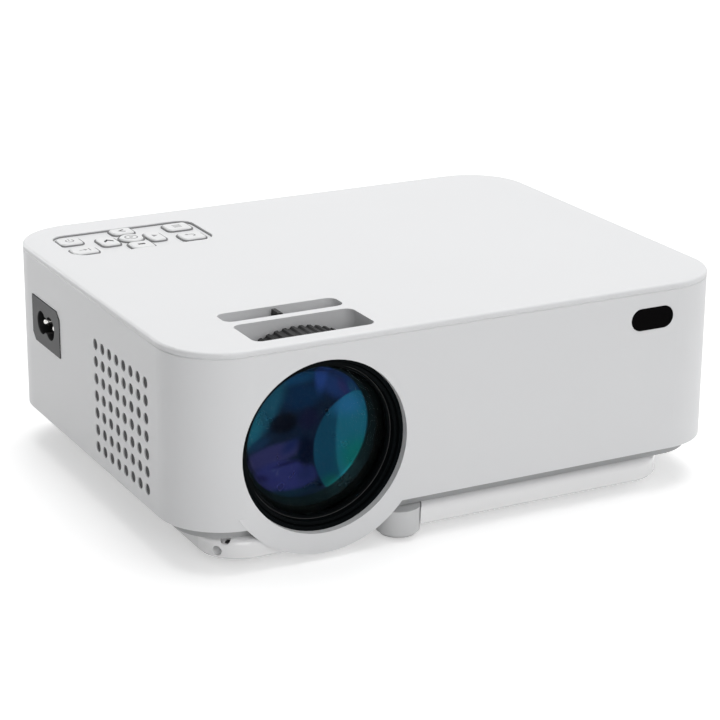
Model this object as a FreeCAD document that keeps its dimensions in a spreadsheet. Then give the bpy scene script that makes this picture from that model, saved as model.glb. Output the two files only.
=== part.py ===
"""Compact LED projector with a slim disc drive, in millimetres.

The origin is the centre of the footprint on the table, +Z is up and the lens faces -Y.
The light runs from the LED at the right, through the tunnel, to a mirror at 45 degrees and out of the lens.
"""
import FreeCAD
import Part
import Sketcher
import math
import os

V = FreeCAD.Vector
doc = FreeCAD.newDocument("projector")
sheet = doc.addObject("Spreadsheet::Sheet", "dims")
finished = []


class Dim:
    """A length that keeps the spreadsheet expression it comes from beside its present value."""

    def __init__(self, text, value):
        self.text = text
        self.value = float(value)

    def __add__(self, other):
        other = dim(other)
        return Dim(f"({self.text} + {other.text})", self.value + other.value)

    def __sub__(self, other):
        other = dim(other)
        return Dim(f"({self.text} - {other.text})", self.value - other.value)

    def __mul__(self, other):
        other = dim(other)
        return Dim(f"({self.text} * {other.text})", self.value * other.value)

    def __truediv__(self, other):
        other = dim(other)
        return Dim(f"({self.text} / {other.text})", self.value / other.value)

    def __neg__(self):
        return Dim(f"(0 - {self.text})", -self.value)

    def __radd__(self, other):
        return dim(other) + self

    def __rsub__(self, other):
        return dim(other) - self

    def __rmul__(self, other):
        return dim(other) * self


def dim(number):
    """A plain number as a Dim; a Dim stays as it is."""
    return number if isinstance(number, Dim) else Dim(repr(number), number)


def root(length):
    """The square root of a Dim."""
    return Dim(f"sqrt({length.text})", math.sqrt(length.value))


def size(alias, value, note):
    """Adds one driving dimension to the sheet and returns it."""
    size.row += 1
    sheet.set(f"A{size.row}", note)
    sheet.set(f"B{size.row}", str(value))
    sheet.setAlias(f"B{size.row}", alias)
    return Dim(f"dims.{alias}", value)


size.row = 0

# ---------------------------------------------------------------- driving dimensions
body_length = size("body_length", 200.0, "casing along X")
body_depth = size("body_depth", 157.0, "casing along Y")
shell_height = size("shell_height", 58.4, "main shell and cover together")
base_height = size("base_height", 14.8, "table to the shell's lower edge")
corner_radius = size("corner_radius", 21.7, "casing corners in plan")
wall = size("wall", 2.5, "shell wall")
lid_lip = size("lid_lip", 2.0, "edge of the top cover above the seam")
lid_plate = size("lid_plate", 2.4, "top cover plate")
tongue_depth = size("tongue_depth", 2.9, "top cover rim inside the shell")
tongue_wall = size("tongue_wall", 1.5, "thickness of that rim")
edge_round = size("edge_round", 0.9, "rounding of the top edge")
seam = size("seam", 0.35, "bevels that make the seam line")
flange = size("flange", 3.6, "shell's inward foot flange")
plate = size("plate", 2.0, "moulded floor thickness")
fit = size("fit", 0.08, "running clearance of turned pieces")
gap = size("gap", 0.3, "clearance between moulded pieces")
neck_height = size("neck_height", 4.0, "dark strip under the shell")
neck_inset = size("neck_inset", 5.0, "dark strip behind the shell's face")
pan_height = size("pan_height", 7.0, "bottom pan")
pan_left = size("pan_left", 10.5, "pan inset at the left")
pan_right = size("pan_right", 20.0, "pan inset at the right")
pan_front = size("pan_front", 2.0, "pan inset at front and back")
pan_radius = size("pan_radius", 14.0, "pan corners in plan")
pan_wall = size("pan_wall", 4.0, "pan side wall")
shoulder = size("shoulder", 2.5, "pan shoulder rounding")
foot_radius = size("foot_radius", 6.0, "rubber foot")
strap_hole = size("strap_hole", 1.6, "radius of the strap eyelet holes")

lens_inset = size("lens_inset", 47.4, "left face to the lens axis")
lens_rise = size("lens_rise", 22.8, "shell's lower edge to the lens axis")
lens_opening = size("lens_opening", 28.6, "radius of the hole in the front")
lens_ring = size("lens_ring", 35.5, "radius of the round apron about the lens")
barrel_radius = size("barrel_radius", 27.2, "lens barrel outside")
barrel_wall = size("barrel_wall", 1.4, "lens barrel wall")
barrel_length = size("barrel_length", 35.0, "lens barrel")
barrel_front_length = size("barrel_front_length", 18.0, "wide front part of the barrel")
barrel_rear_radius = size("barrel_rear_radius", 20.4, "narrow rear part of the barrel")
glass_thick = size("glass_thick", 3.7, "front lens at its edge")
barrel_setback = size("barrel_setback", 3.4, "front face to the barrel at rest")
barrel_travel = size("barrel_travel", 2.5, "focus travel each way")
sleeve_wall = size("sleeve_wall", 2.1, "lens mount tube")
sleeve_length = size("sleeve_length", 21.7, "lens mount tube")
wheel_radius = size("wheel_radius", 33.5, "focus ring over its ridges")
wheel_setback = size("wheel_setback", 8.5, "front face to the ridged band")
wheel_width = size("wheel_width", 13.0, "ridged band")
wheel_collar = size("wheel_collar", 31.4, "radius of the ring's plain front collar")
wheel_teeth = size("wheel_teeth", 72, "ridges")
tooth_depth = size("tooth_depth", 0.6, "ridge height")
pin_radius = size("pin_radius", 1.2, "focus and cam pins")
pin_play = size("pin_play", 0.25, "clearance of a pin in its slot")
helix_lead = size("helix_lead", 18.0, "travel per turn of the focus tracks")
bay_gap = size("bay_gap", 0.6, "room round the focus ring")
slot_left = size("slot_left", 26.5, "left face to the top slots")
slot_length = size("slot_length", 42.0, "top slots along X")
slot_round = size("slot_round", 3.0, "top slot corners")
focus_slot_y = size("focus_slot_y", 6.5, "front face to the focus slot")
focus_slot_width = size("focus_slot_width", 18.0, "focus slot")
key_slot_y = size("key_slot_y", 28.0, "front face to the keystone slot")
key_slot_width = size("key_slot_width", 9.0, "keystone slot")
well_depth = size("well_depth", 8.2, "slot walls below the top")
well_wall = size("well_wall", 1.5, "slot walls")

mirror_setback = size("mirror_setback", 96.5, "front face to the mirror centre")
mirror_length = size("mirror_length", 52.0, "mirror")
mirror_height = size("mirror_height", 42.0, "mirror")
mirror_glass = size("mirror_glass", 2.0, "mirror glass")
cam_ratio = size("cam_ratio", 0.12, "pin travel per slider travel")
cam_offset = size("cam_offset", 14.5, "cam pin from the mirror centre, along it")
nub_rest = size("nub_rest", 20.9, "slot end to the nub at rest")
slide_left = size("slide_left", 15.5, "keystone travel to the left")
slide_right = size("slide_right", 15.5, "keystone travel to the right")
slider_plate = size("slider_plate", 1.6, "keystone slider plate")

tunnel_start = size("tunnel_start", 28.6, "mirror centre to the tunnel")
tunnel_length = size("tunnel_length", 66.0, "light tunnel")
tunnel_half = size("tunnel_half", 38.0, "half of the tunnel's width")
tunnel_rise = size("tunnel_rise", 22.8, "lens axis to the tunnel's top")
tunnel_wall = size("tunnel_wall", 2.6, "tunnel sides")
groove = size("groove", 1.0, "depth of the grooves for the plates")
fin_length = size("fin_length", 28.0, "heat sink fins")
fin_count = size("fin_count", 11, "heat sink fins")
fan_width = size("fan_width", 40.0, "square fan")
fan_depth = size("fan_depth", 10.0, "fan")

drive_length = size("drive_length", 124.5, "disc drive along X")
drive_width = size("drive_width", 128.0, "disc drive along Y")
drive_height = size("drive_height", 9.5, "disc drive")
drive_sheet = size("drive_sheet", 0.6, "disc drive case sheet")
bezel_depth = size("bezel_depth", 2.7, "tray bezel")
disc_radius = size("disc_radius", 60.5, "disc recess")
disc_depth = size("disc_depth", 2.4, "disc recess")

keypad_x = size("keypad_x", 37.5, "left face to the keypad centre")
keypad_y = size("keypad_y", 26.75, "back face to the keypad centre")
keypad_length = size("keypad_length", 53.0, "keypad recess")
keypad_width = size("keypad_width", 26.5, "keypad recess")
keypad_depth = size("keypad_depth", 0.7, "keypad recess")
keypad_round = size("keypad_round", 5.5, "keypad recess corners")
key_proud = size("key_proud", 0.2, "keys above the top")
key_travel = size("key_travel", 0.5, "key stroke")
key_rim = size("key_rim", 0.45, "key flange under the cover")

hole_pitch = size("hole_pitch", 5.95, "speaker holes")
hole_radius = size("hole_radius", 1.9, "speaker holes")
grille_y = size("grille_y", 51.7, "front face to the speaker centre")
grille_z = size("grille_z", 24.15, "shell's lower edge to the speaker centre")
speaker_radius = size("speaker_radius", 20.0, "speaker frame")
inlet_y = size("inlet_y", 39.05, "back face to the inlet centre")
inlet_z = size("inlet_z", 35.0, "shell's lower edge to the inlet centre")
inlet_length = size("inlet_length", 25.7, "inlet plate")
inlet_height = size("inlet_height", 16.0, "inlet plate")
cavity_length = size("cavity_length", 16.1, "inlet cavity")
cavity_height = size("cavity_height", 8.2, "inlet cavity")
inlet_pitch = size("inlet_pitch", 8.6, "inlet pins")
window_x = size("window_x", 31.9, "right face to the infrared window")
window_z = size("window_z", 47.4, "shell's lower edge to the infrared window")
window_length = size("window_length", 16.3, "infrared window")
window_height = size("window_height", 7.5, "infrared window")
knob_x = size("knob_x", 77.0, "left face to the front foot")
knob_y = size("knob_y", 7.2, "front face to the front foot")
knob_radius = size("knob_radius", 7.3, "front foot")
knob_rest = size("knob_rest", 1.1, "table to the retracted front foot")
stud_radius = size("stud_radius", 1.8, "front foot stud")
tripod_radius = size("tripod_radius", 3.175, "tripod thread")
post_radius = size("post_radius", 3.2, "cover posts")
post_inset = size("post_inset", 11.0, "cover posts from front and back")
screw_radius = size("screw_radius", 1.4, "cover screws")
doc.recompute()

# ---------------------------------------------------------------- shared places
left = -body_length / 2
right = body_length / 2
front = -body_depth / 2
back = body_depth / 2
top = base_height + shell_height
rim = top - lid_lip
under = top - lid_plate
floor_under = base_height - neck_height
deck = floor_under + plate
pan_under = floor_under - pan_height
lens_x = left + lens_inset
lens_z = base_height + lens_rise
sleeve_radius = barrel_radius + fit + sleeve_wall
wheel_front = front + wheel_setback
wheel_back = wheel_front + wheel_width
pin_y = wheel_front + wheel_width / 2
bay_radius = wheel_radius + bay_gap
mount_back = front + wall + sleeve_length
bay_back = mount_back + gap
barrel_front = front + barrel_setback
mirror_y = front + mirror_setback
well_under = top - well_depth
slider_top = well_under - gap
slider_under = slider_top - slider_plate
slot_x = (left + slot_left, left + slot_left + slot_length)
focus_slot = (front + focus_slot_y, front + focus_slot_y + focus_slot_width)
key_slot = (front + key_slot_y, front + key_slot_y + key_slot_width)
tunnel_x = lens_x + tunnel_start
tunnel_end = tunnel_x + tunnel_length
tunnel_top = lens_z + tunnel_rise
drive_right = right - 3.0
drive_left = drive_right - drive_length
drive_top = under - gap
drive_under = drive_top - drive_height
disc_x = drive_right - disc_radius - 1.0
keypad = (left + keypad_x, back - keypad_y)
board_top = under - 4.0
grille = (front + grille_y, base_height + grille_z)
inlet = (back - inlet_y, base_height + inlet_z)
window = (right - window_x, base_height + window_z)
knob = (left + knob_x, front + knob_y)
stud_top = base_height - 0.5
posts = (
    (left + 20.0, back - post_inset),
    (right - 30.0, back - post_inset),
    (left + 105.0, front + post_inset),
    (right - 50.0, front + post_inset),
)
drive_ears = [(x, side) for x in (drive_left + 7.5, drive_right - 11.0) for side in (-1, 1)]
drive_ear_y = drive_width / 2 + 3.0
vent_y = [mirror_y + 8.0 * step for step in range(-2, 3)]

PIN_ANGLES = (90, 210, 330)
# label, offset from the keypad centre, width and depth; one width alone is a round key
KEY_SIZES = (
    ("key_power", -21.5, 5.25, 8.0, 7.5),
    ("key_source", -21.0, -7.45, 9.0, 7.0),
    ("key_up", -0.5, 9.25, 8.0, 6.5),
    ("key_left", -9.5, -0.55, 6.5, 9.5),
    ("key_down", -0.5, -9.25, 8.0, 7.5),
    ("key_right", 7.7, -1.55, 5.5, 10.0),
    ("key_ok", -0.5, 0.25, 8.5, None),
    ("key_menu", 19.5, 6.25, 9.0, 8.0),
    ("key_back", 19.5, -6.75, 8.5, 8.0),
)
KEYS = []
for label, *numbers in KEY_SIZES:
    named = zip(("x", "y", "wide", "deep"), numbers)
    values = [value and size(f"{label}_{name}", value, "keypad layout") for name, value in named]
    KEYS.append((label, *values))
doc.recompute()


# ---------------------------------------------------------------- sketch outlines
def hold(sketch, geometry, vertex, x, y):
    """Holds one point of a sketch at (x, y) from the sketch's origin."""
    for kind, place in (("DistanceX", dim(x)), ("DistanceY", dim(y))):
        rule = Sketcher.Constraint(kind, -1, 1, geometry, vertex, place.value)
        index = sketch.addConstraint(rule)
        sketch.setExpression(f"Constraints[{index}]", place.text)


def hold_radius(sketch, geometry, radius):
    """Ties an arc's or a circle's radius to the sheet."""
    index = sketch.addConstraint(Sketcher.Constraint("Radius", geometry, dim(radius).value))
    sketch.setExpression(f"Constraints[{index}]", dim(radius).text)


def circle(x, y, radius):
    """A circle about (x, y)."""
    def draw(sketch):
        centre = V(dim(x).value, dim(y).value, 0)
        index = sketch.addGeometry(Part.Circle(centre, V(0, 0, 1), dim(radius).value), False)
        hold(sketch, index, 3, x, y)
        hold_radius(sketch, index, radius)
    return draw


def polygon(*points):
    """A closed outline of straight edges."""
    def draw(sketch):
        spots = [V(dim(x).value, dim(y).value, 0) for x, y in points]
        ends = spots[1:] + spots[:1]
        lines = [sketch.addGeometry(Part.LineSegment(a, b), False) for a, b in zip(spots, ends)]
        for line, (x, y) in zip(lines, points):
            hold(sketch, line, 1, x, y)
        for line, following in zip(lines, lines[1:] + lines[:1]):
            sketch.addConstraint(Sketcher.Constraint("Coincident", line, 2, following, 1))
    return draw


def rectangle(x0, x1, y0, y1):
    """An upright rectangle."""
    return polygon((x0, y0), (x1, y0), (x1, y1), (x0, y1))


def rounded(x0, x1, y0, y1, radius):
    """An upright rectangle with round corners."""
    def draw(sketch):
        r = dim(radius)
        xs, ys = [dim(x0), dim(x1)], [dim(y0), dim(y1)]
        runs = (
            ((xs[0] + r, ys[0]), (xs[1] - r, ys[0])),
            ((xs[1], ys[0] + r), (xs[1], ys[1] - r)),
            ((xs[1] - r, ys[1]), (xs[0] + r, ys[1])),
            ((xs[0], ys[1] - r), (xs[0], ys[0] + r)),
        )
        turns = (
            (xs[1] - r, ys[0] + r), (xs[1] - r, ys[1] - r), (xs[0] + r, ys[1] - r), (xs[0] + r, ys[0] + r),
        )
        lines = []
        for start, end in runs:
            spots = [V(x.value, y.value, 0) for x, y in (start, end)]
            lines.append(sketch.addGeometry(Part.LineSegment(*spots), False))
            hold(sketch, lines[-1], 1, *start)
            hold(sketch, lines[-1], 2, *end)
        for step, (x, y) in enumerate(turns):
            begin = math.radians(90 * step - 90)
            ring = Part.Circle(V(x.value, y.value, 0), V(0, 0, 1), r.value)
            arc = sketch.addGeometry(Part.ArcOfCircle(ring, begin, begin + math.pi / 2), False)
            sketch.addConstraint(Sketcher.Constraint("Coincident", arc, 1, lines[step], 2))
            sketch.addConstraint(Sketcher.Constraint("Coincident", arc, 2, lines[(step + 1) % 4], 1))
            hold_radius(sketch, arc, r)
    return draw


def capsule(x0, x1, y0, y1):
    """A level bar with half-round ends."""
    def draw(sketch):
        r = (dim(y1) - y0) / 2
        ends = (dim(x1) - r, dim(x0) + r)
        middle = dim(y0) + r
        runs = (((ends[1], dim(y0)), (ends[0], dim(y0))), ((ends[0], dim(y1)), (ends[1], dim(y1))))
        lines = []
        for start, end in runs:
            spots = [V(x.value, y.value, 0) for x, y in (start, end)]
            lines.append(sketch.addGeometry(Part.LineSegment(*spots), False))
            hold(sketch, lines[-1], 1, *start)
            hold(sketch, lines[-1], 2, *end)
        for step, x in enumerate(ends):
            begin = math.radians(180 * step - 90)
            ring = Part.Circle(V(x.value, middle.value, 0), V(0, 0, 1), r.value)
            arc = sketch.addGeometry(Part.ArcOfCircle(ring, begin, begin + math.pi), False)
            sketch.addConstraint(Sketcher.Constraint("Coincident", arc, 1, lines[step], 2))
            sketch.addConstraint(Sketcher.Constraint("Coincident", arc, 2, lines[1 - step], 1))
            rule = sketch.addConstraint(Sketcher.Constraint("DistanceX", -1, 1, arc, 3, x.value))
            sketch.setExpression(f"Constraints[{rule}]", x.text)
    return draw


# ---------------------------------------------------------------- bodies and primitives
NORMAL = {"XY": 1, "XZ": -1, "YZ": 1}
TURN = {"x": (V(0, 1, 0), 90), "y": (V(1, 0, 0), -90), "z": (V(0, 0, 1), 0)}


def finish(piece, label):
    """Names a finished sub-part and lists it for export."""
    piece.Label = label
    finished.append(piece)
    return piece


def move(piece, place):
    """Ties a piece's position to the sheet."""
    for axis, value in zip("xyz", place):
        piece.setExpression(f"Placement.Base.{axis}", dim(value).text)


class Moulding:
    """A sub-part made feature by feature in its own PartDesign body."""

    def __init__(self, label):
        self.body = finish(doc.addObject("PartDesign::Body", label), label)

    def sketch(self, plane, level, outlines):
        """Draws outlines on a plane through the origin, moved to a level along its normal."""
        sketch = self.body.newObject("Sketcher::SketchObject", "profile")
        support = [f for f in self.body.Origin.OriginFeatures if f.Role == f"{plane}_Plane"]
        sketch.AttachmentSupport = [(support[0], "")]
        sketch.MapMode = "FlatFace"
        sketch.setExpression("AttachmentOffset.Base.z", (dim(level) * NORMAL[plane]).text)
        for outline in outlines:
            outline(sketch)
        return sketch

    def extrude(self, kind, plane, start, end, outlines):
        """Pads or pockets outlines from one level to another."""
        start, end = dim(start), dim(end)
        profile = self.sketch(plane, start, outlines)
        feature = self.body.newObject(f"PartDesign::{kind}", kind.lower())
        feature.Profile = profile
        forward = (end.value - start.value) * NORMAL[plane] > 0
        feature.Reversed = forward if kind == "Pocket" else not forward
        length = end - start if end.value > start.value else start - end
        feature.setExpression("Length", length.text)
        return feature

    def add(self, plane, start, end, *outlines):
        """Adds material between two levels."""
        return self.extrude("Pad", plane, start, end, outlines)

    def cut(self, plane, start, end, *outlines):
        """Takes material away between two levels, and makes sure that it does."""
        doc.recompute()
        before = self.body.Shape.Volume
        feature = self.extrude("Pocket", plane, start, end, outlines)
        doc.recompute()
        if self.body.Shape.Volume > before - 1e-4:
            raise RuntimeError(f"{self.body.Label}: a pocket cuts nothing")
        return feature

    def soften(self, kind, amount, wanted):
        """Fillets or chamfers the edges that wanted(edge) picks."""
        doc.recompute()
        tip = self.body.Tip
        edges = [f"Edge{n + 1}" for n, edge in enumerate(tip.Shape.Edges) if wanted(edge)]
        if not edges:
            raise RuntimeError(f"{self.body.Label}: no edge to soften")
        feature = self.body.newObject(f"PartDesign::{kind}", kind.lower())
        feature.Base = (tip, edges)
        feature.setExpression("Radius" if kind == "Fillet" else "Size", amount.text)
        return feature


def level_edge(height):
    """Picks edges that lie flat at a height."""
    def wanted(edge):
        box = edge.BoundBox
        return abs(box.ZMin - height.value) < 1e-4 and abs(box.ZMax - height.value) < 1e-4
    return wanted


def turned(label, points, place, axis):
    """A body turned from a profile of (radius, distance along the axis) about its own axis."""
    piece = Moulding(label)
    profile = piece.sketch("XZ", 0, [points] if callable(points) else [polygon(*points)])
    feature = piece.body.newObject("PartDesign::Revolution", "turning")
    feature.Profile = profile
    feature.ReferenceAxis = (profile, ["V_Axis"])
    feature.Angle = 360.0
    piece.body.Placement.Rotation = FreeCAD.Rotation(*TURN[axis])
    move(piece.body, place)
    return piece


def block(xs, ys, zs):
    """A box between two places on each axis."""
    piece = doc.addObject("Part::Box", "block")
    for name, (low, high) in zip(("Length", "Width", "Height"), (xs, ys, zs)):
        piece.setExpression(name, (dim(high) - low).text)
    move(piece, (xs[0], ys[0], zs[0]))
    return piece


def rod(axis, place, radius, length):
    """A cylinder from place along an axis."""
    piece = doc.addObject("Part::Cylinder", "rod")
    piece.setExpression("Radius", dim(radius).text)
    piece.setExpression("Height", dim(length).text)
    piece.Placement = FreeCAD.Placement(V(0, 0, 0), FreeCAD.Rotation(*TURN[axis]))
    move(piece, place)
    return piece


def union(pieces):
    """Pieces fused into one."""
    joined = doc.addObject("Part::MultiFuse", "union")
    joined.Shapes = list(pieces)
    joined.Refine = True
    return joined


def without(base, tools):
    """A piece with tools cut out of it."""
    tools = list(tools)
    result = doc.addObject("Part::Cut", "cut")
    result.Base = base
    result.Tool = tools[0] if len(tools) == 1 else union(tools)
    return result


def group(pieces):
    """Separate solids kept in one sub-part."""
    together = doc.addObject("Part::Compound", "group")
    together.Links = list(pieces)
    return together


def casing(inset):
    """The casing's rounded outline in plan, moved inwards."""
    inset = dim(inset)
    return rounded(left + inset, right - inset, front + inset, back - inset, corner_radius - inset)


def post_circles(radius):
    """One circle about each cover post."""
    return [circle(x, y, radius) for x, y in posts]


# ---------------------------------------------------------------- casing
def make_main_shell():
    """The side walls in one moulding, with the round apron that reaches below the lower edge."""
    shell = Moulding("main_shell")
    shell.add("XY", base_height, rim, casing(0))
    shell.soften("Chamfer", seam, level_edge(rim))
    shell.cut("XY", rim, base_height + plate, casing(wall))
    shell.cut("XY", rim, base_height - 1, casing(wall + flange))
    apron_top = base_height + 2 * plate
    drop = lens_z - apron_top
    half_chord = root(lens_ring * lens_ring - drop * drop)
    shell.add("XZ", front, front + wall, segment(lens_x, lens_z, lens_ring, half_chord, apron_top))
    shell.cut("XZ", front + wall, bay_back, circle(lens_x, lens_z, bay_radius))
    shell.cut("XZ", front - 1, front + wall, circle(lens_x, lens_z, lens_opening))
    x, z = window
    half_length, half_height = window_length / 2 + 0.1, window_height / 2 + 0.1
    shell.cut(
        "XZ", front - 1, front + wall,
        capsule(x - half_length, x + half_length, z - half_height, z + half_height),
    )
    bosses = [circle(x + side * 5.0, z - 8.5, 1.8) for side in (-1, 1)]
    shell.add("XZ", front + wall, front + wall + 4.8, *bosses)
    shell.cut("YZ", left - 1, left + wall, inlet_outline(0.15))
    holes = [
        circle(grille[0] + hole_pitch * column, grille[1] + hole_pitch * row, hole_radius)
        for column in (-3.5, -2.5, -1.5, -0.5, 0.5, 1.5, 2.5, 3.5)
        for row in range(-3, 4)
    ]
    shell.cut("YZ", left - 1, left + wall, *holes)
    mouth = drive_width / 2 + 0.9
    shell.cut("YZ", right + 1, right - wall - 12.0, rectangle(-mouth, mouth, drive_under - gap, rim + 1))
    louvres = [
        rectangle(mirror_y - 17.0, mirror_y + 17.0, lens_z + level, lens_z + level + 2.4)
        for level in (-17.2, -12.2, -7.2, -2.2, 2.8, 7.8, 12.8)
    ]
    shell.cut("YZ", right + 1, right - wall, *louvres)
    shell.cut("XZ", back + 1, back - wall, *port_outlines(0.3))
    rear = [
        rectangle(left + 34.0 + 6.0 * step, left + 36.4 + 6.0 * step, base_height + 12.0, base_height + 40.0)
        for step in range(3)
    ]
    shell.cut("XZ", back + 1, back - wall, *rear)


def make_top_cover():
    """The lid: plate, inner rim, wells of the two slots, key recess, posts and slider rails."""
    cover = Moulding("top_cover")
    cover.add("XY", rim, top, casing(0))
    cover.soften("Fillet", edge_round, level_edge(top))
    cover.soften("Chamfer", seam, level_edge(rim))
    cover.add("XY", rim, rim - tongue_depth, casing(wall + 0.2))
    cover.cut("XY", rim - tongue_depth, under, casing(wall + 0.2 + tongue_wall))
    mouth = drive_width / 2 + 0.9
    cover.cut("YZ", right, drive_right - 14.0, rectangle(-mouth, mouth, rim - tongue_depth - 1, under))
    wells = [
        rounded(slot_x[0] - well_wall, slot_x[1] + well_wall, y0 - well_wall, y1 + well_wall, slot_round)
        for y0, y1 in (focus_slot, key_slot)
    ]
    cover.add("XY", under, well_under, *wells)
    slider = slider_outline_y()
    rails = ((slider[0] - gap - 1.5, slider[0] - gap, 1), (slider[1] + gap, slider[1] + gap + 1.5, -1))
    rail_x = (left + 6.0, drive_left - 2.5)
    lip_top = slider_under - gap
    for low, high, inward in rails:
        cover.add("XY", under, lip_top - 0.6, rectangle(rail_x[0], rail_x[1], low, high))
        lip = (high, high + 2.0) if inward > 0 else (low - 2.0, low)
        cover.add("XY", lip_top, lip_top - 0.6, rectangle(rail_x[0], rail_x[1], lip[0], lip[1]))
    cover.add("XY", under, deck, *post_circles(post_radius))
    keypad_bosses = [circle(keypad[0] + side * 29.5, keypad[1], 2.2) for side in (-1, 1)]
    cover.add("XY", under, board_top, *keypad_bosses)
    ears = [circle(x, side * drive_ear_y, 2.5) for x, side in drive_ears]
    cover.add("XY", under, ear_top, *ears)
    slots = [rounded(slot_x[0], slot_x[1], y0, y1, slot_round) for y0, y1 in (focus_slot, key_slot)]
    cover.cut("XY", top, well_under - 1, *slots)
    collar_room = circle(lens_x, lens_z, wheel_collar + bay_gap)
    cover.cut("XZ", front + wall, wheel_front - bay_gap, collar_room)
    half_length, half_width = keypad_length / 2, keypad_width / 2
    recess = rounded(
        keypad[0] - half_length, keypad[0] + half_length, keypad[1] - half_width, keypad[1] + half_width,
        keypad_round,
    )
    cover.cut("XY", top, top - keypad_depth, recess)
    cover.cut("XY", top, under, *[key_outline(key, 0.2) for key in KEYS])
    cover.cut("XY", deck, deck + 13.0, *post_circles(screw_radius))


def make_chassis_plate():
    """The dark tray under the shell; its edge is the strip that shows above the pan."""
    tray = Moulding("chassis_plate")
    tray.add("XY", floor_under, base_height, casing(neck_inset))
    tray.cut("XY", base_height, deck, casing(neck_inset + wall))
    board = driver_board_place()
    stands = [circle(x, y, 2.5) for x, y in corners(board, 4.0) + corners(power_board_place(), 4.0)]
    tray.add("XY", deck, deck + 5.2, *stands)
    collar_radius = wheel_collar + bay_gap
    tray.cut("XZ", front, wheel_front - bay_gap, circle(lens_x, lens_z, collar_radius))
    tray.cut("XZ", wheel_front - bay_gap, bay_back, circle(lens_x, lens_z, bay_radius))
    tray.cut("XY", stud_top, floor_under, circle(*knob, stud_radius))
    tray.cut("XY", deck, floor_under, *post_circles(screw_radius + 0.3), *floor_vents())


def floor_vents():
    """Air slots under the heat sink."""
    middle = tunnel_end + 18.0
    return [rectangle(middle - 12.0, middle + 12.0, y - 1.3, y + 1.3) for y in vent_y]


def make_bottom_pan():
    """The shallow white pan, with a belly under the focus ring and a notch for the front foot."""
    pan = Moulding("bottom_pan")
    x0, x1, y0, y1 = left + pan_left, right - pan_right, front + pan_front, back - pan_front
    pan.add("XY", pan_under, floor_under, rounded(x0, x1, y0, y1, pan_radius))
    pan.soften("Fillet", shoulder, level_edge(floor_under))
    pan.soften("Chamfer", dim(0.8), level_edge(pan_under))
    inner = rounded(x0 + pan_wall, x1 - pan_wall, y0 + pan_wall, y1 - pan_wall, pan_radius - pan_wall)
    pan.cut("XY", floor_under, pan_under + plate, inner)
    belly_half = root(lens_ring * lens_ring - (lens_z - pan_under - 1.0) * (lens_z - pan_under - 1.0))
    belly = segment(lens_x, lens_z, lens_ring, belly_half, pan_under + 1.0)
    pan.add("XZ", front + wall + 0.1, bay_back + 1.2, belly)
    pan.add("XY", pan_under, floor_under, *post_circles(5.4))
    pan.add("XY", pan_under, floor_under, circle(0, 0, 9.0))
    boss, recess = knob_radius + 3.0, (lens_x + 10.5, y0 - 1)
    boss_front, recess_wall = y0 + shoulder + 0.2, 3.0
    boss_outline = polygon(
        (recess[0] - recess_wall, boss_front), (knob[0] + boss, boss_front), (knob[0] + boss, knob[1] + boss),
        (knob[0] - boss, knob[1] + boss), (knob[0] - boss, knob[1] + recess_wall),
        (recess[0] - recess_wall, knob[1] + recess_wall),
    )
    pan.add("XY", pan_under, floor_under, boss_outline)
    pan.cut("XZ", front - 1, front + wall + 0.1, circle(lens_x, lens_z, lens_ring + 0.15))
    pan.cut("XZ", front + wall, wheel_front - bay_gap, circle(lens_x, lens_z, wheel_collar + bay_gap))
    pan.cut("XZ", wheel_front - bay_gap, bay_back, circle(lens_x, lens_z, bay_radius))
    pan.cut("XY", floor_under, pan_under - 3.0, circle(*knob, knob_radius + gap))
    pan.cut("XY", floor_under, pan_under - 3.0, rectangle(recess[0], knob[0], recess[1], knob[1]))
    pan.cut("XY", pan_under, floor_under, circle(0, 0, tripod_radius + 1.8))
    pan.cut("XY", pan_under, floor_under, *post_circles(screw_radius + 0.3))
    pan.cut("XY", pan_under, pan_under + 2.2, *post_circles(screw_radius + 1.7))
    feet = [circle(x, y, foot_radius + 0.1) for x, y in foot_places()]
    pan.cut("XY", pan_under, pan_under + 0.5, *feet)
    pan.cut("XY", pan_under, pan_under + plate, *floor_vents())
    corner = (x0 + pan_radius, y0 + pan_radius)
    over = (227.2, 39.5)
    side = (216.4, 90.0)
    reach = pan_radius - shoulder + shoulder * math.sin(math.radians(over[1]))
    level = floor_under - shoulder + shoulder * math.cos(math.radians(over[1]))
    eyelets = [
        eyelet(corner, reach, level, *over),
        eyelet(corner, pan_radius, pan_under + 2.7, *side),
    ]
    pan.body.Label = "bottom_pan_moulding"
    finished.remove(pan.body)
    finish(without(pan.body, eyelets), "bottom_pan")


def eyelet(corner, reach, level, azimuth, lean):
    """A strap hole drilled square into the pan's round corner, leaning outwards from the vertical."""
    turn, tilt = math.radians(azimuth), math.radians(lean)
    outward = V(math.sin(tilt) * math.cos(turn), math.sin(tilt) * math.sin(turn), math.cos(tilt))
    depth = 4.0
    mouth = (corner[0] + reach * math.cos(turn), corner[1] + reach * math.sin(turn), level)
    bottom = [place - depth * part for place, part in zip(mouth, outward)]
    hole = rod("z", bottom, strap_hole, depth + 1.0)
    hole.Placement.Rotation = FreeCAD.Rotation(V(0, 0, 1), outward)
    return hole


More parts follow.
